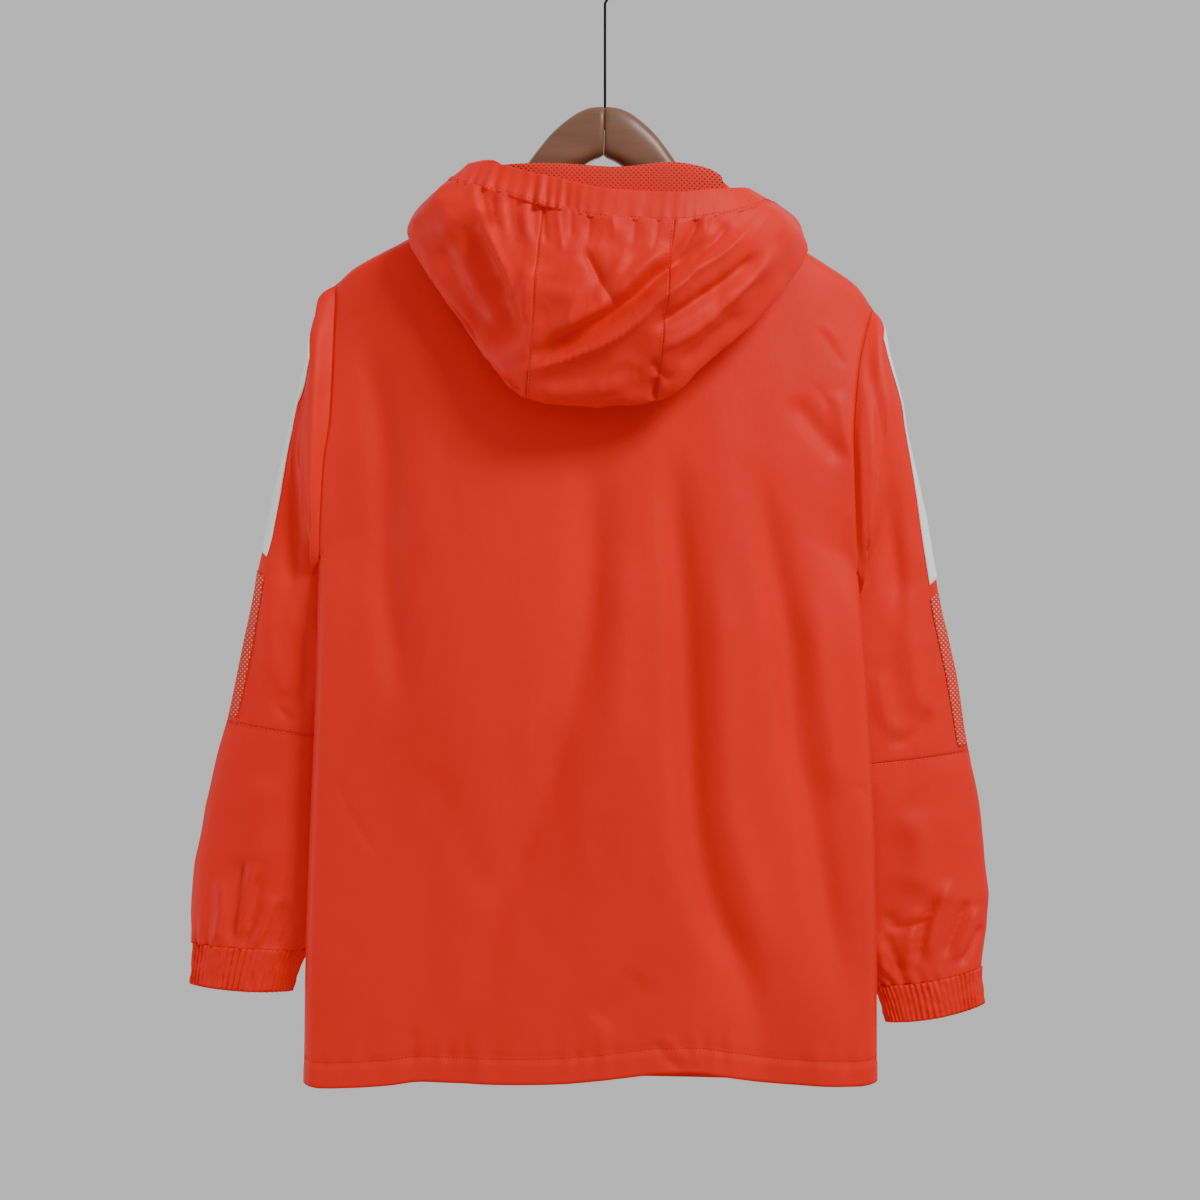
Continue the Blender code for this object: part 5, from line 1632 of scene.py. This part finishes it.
def make_arm(side, finish):
    xs = column(HANGER_ARM, 0)
    values = [row[1:] for row in HANGER_ARM]
    places = np.linspace(ARM_END_GAP, xs[-1], ARM_STEPS)
    sections = [(x, *smooth(xs, values, x)) for x in places]
    rings = [arm_section(side, *sections[0], shrink=END_ROUND)]
    rings += [arm_section(side, *section) for section in sections[1:]]
    x, top, under, thick = sections[-1]
    tip_round = thick / 2
    for turn in np.linspace(*TIP_TURNS):
        shrink = tip_round * (1 - math.cos(turn * math.pi / 2)) * TIP_SHRINK
        rings.append(arm_section(side, x + TIP_LENGTH * turn, top, under, thick, shrink))
    node = "hanger_arm_" + SIDES[side]
    mesh = capped(grid_mesh(node + "_wood", np.array(rings), ring=True))
    hard_piece(node + "_wood", mesh, finish, node)


brown_wood = wood("stained_wood", (0.180, 0.076, 0.036))
for side in SIDES:
    make_arm(side, brown_wood)
print("hanger arms made")

# %% [markdown]
# ## The hook
# The hook is one bent wire: straight up out of the wood, out to one side, then round the bend.
# A round tube swept along the wire's middle line gives it, with its ends rounded off.

# %% Hook
WIRE_RADIUS = 0.0012
HOOK_RADIUS = 0.0210       # inside radius of the bend
HOOK_TIP_ANGLE = 215
STEM_TOP_Z = -0.060
STEM_FOOT_Z = -0.170
WIRE_SIDES = 16
WIRE_END = 0.55            # of the wire's radius, at its rounded ends
SWING_KNOTS = (0.0, 0.35, 0.7, 1.0)    # where the wire swings out from stem to bend,
SWING_LOW = (0.006, 0.011)             # past a point this far out and up from the stem
SWING_HIGH = (0.003, 0.010)            # and one this far in and down from the bend
HOOK_STEPS = (12, 25, 70)              # points of the stem, the swing and the bend


def hook_route():
    """The wire's middle line as x and z."""
    radius = HOOK_RADIUS + WIRE_RADIUS
    centre_z = WIRE_RADIUS - radius
    swing = ((0.0, STEM_TOP_Z), (SWING_LOW[0], STEM_TOP_Z + SWING_LOW[1]),
             (radius - SWING_HIGH[0], centre_z - SWING_HIGH[1]), (radius, centre_z))
    in_stem, in_swing, in_bend = HOOK_STEPS
    route = [(0.0, z) for z in np.linspace(STEM_FOOT_Z, STEM_TOP_Z, in_stem)[:-1]]
    route += [tuple(smooth(SWING_KNOTS, swing, f)) for f in np.linspace(0, 1, in_swing)[:-1]]
    for degrees in np.linspace(0, HOOK_TIP_ANGLE, in_bend):
        angle = math.radians(degrees)
        route.append((radius * math.cos(angle), centre_z + radius * math.sin(angle)))
    return np.array(route)


def make_hook(finish):
    route = hook_route()
    along = np.gradient(route, axis=0)
    along /= np.linalg.norm(along, axis=1, keepdims=True)
    rings = []
    for index, ((x, z), (dx, dz)) in enumerate(zip(route, along)):
        radius = WIRE_RADIUS * (WIRE_END if index in (0, len(route) - 1) else 1.0)
        turn = [2 * math.pi * k / WIRE_SIDES for k in range(WIRE_SIDES)]
        rings.append([(x - dz * radius * math.cos(a), radius * math.sin(a),
                       z + dx * radius * math.cos(a)) for a in turn])
    mesh = capped(grid_mesh("hook_wire", np.array(rings), ring=True))
    hard_piece("hook_wire", mesh, finish, "hanger_hook")
    print("wire length: %.3f m" % length_of(route))


make_hook(metal("blackened_wire", (0.020, 0.020, 0.022), 0.34))

# %% [markdown]
# ## Floor and light
# The jacket hangs as from a rail at the height of a wardrobe's, well above a pale floor. The
# light is soft and comes mostly from the upper right, as the folds' shadows show. A weak lamp
# at the left brings out the tape there, and one behind lights the zipped side.

# %% Floor and light
FLOOR_Z = -1.90
FLOOR_REACH = 3.0
WORLD_GREY = (0.60, 0.60, 0.60)
WORLD_STRENGTH = 1.06
FLOOR_GREY = (0.62, 0.62, 0.61)
MIDDLE = (0, 0, -0.55)
HOOD = (0, 0, -0.30)
# name, place, what it is aimed at, size and watts
LAMPS = (
    ("key", (1.5, -1.7, 1.3), HOOD, 0.8, 57.0),
    ("fill", (-2.4, 0.0, -0.9), MIDDLE, 1.0, 11.0),
    ("front_of_jacket", (0.5, 2.6, -0.9), MIDDLE, 1.4, 9.0),
)


def make_floor():
    mesh = bpy.data.meshes.new("floor")
    corners = [(x * FLOOR_REACH, y * FLOOR_REACH, FLOOR_Z)
               for x, y in ((-1, -1), (1, -1), (1, 1), (-1, 1))]
    mesh.from_pydata(corners, [], [(0, 1, 2, 3)])
    floor = bpy.data.objects.new("floor", mesh)
    bpy.context.scene.collection.objects.link(floor)
    floor.data.materials.append(finish_nodes("pale_floor", FLOOR_GREY, 0.8)[0])


def soft_light(name, place, target, size, watts):
    """A large square lamp aimed at a target."""
    data = bpy.data.lights.new(name, "AREA")
    data.shape = "SQUARE"
    data.size = size
    data.energy = watts
    lamp = bpy.data.objects.new(name, data)
    lamp.location = place
    aim = Vector(target) - Vector(place)
    lamp.rotation_euler = aim.to_track_quat("-Z", "Y").to_euler()
    bpy.context.scene.collection.objects.link(lamp)


make_floor()
world = bpy.data.worlds.new("studio")
world.use_nodes = True
background = world.node_tree.nodes["Background"].inputs
background["Color"].default_value = (*WORLD_GREY, 1.0)
background["Strength"].default_value = WORLD_STRENGTH
bpy.context.scene.world = world
for lamp in LAMPS:
    soft_light(*lamp)
print("floor and lights made")
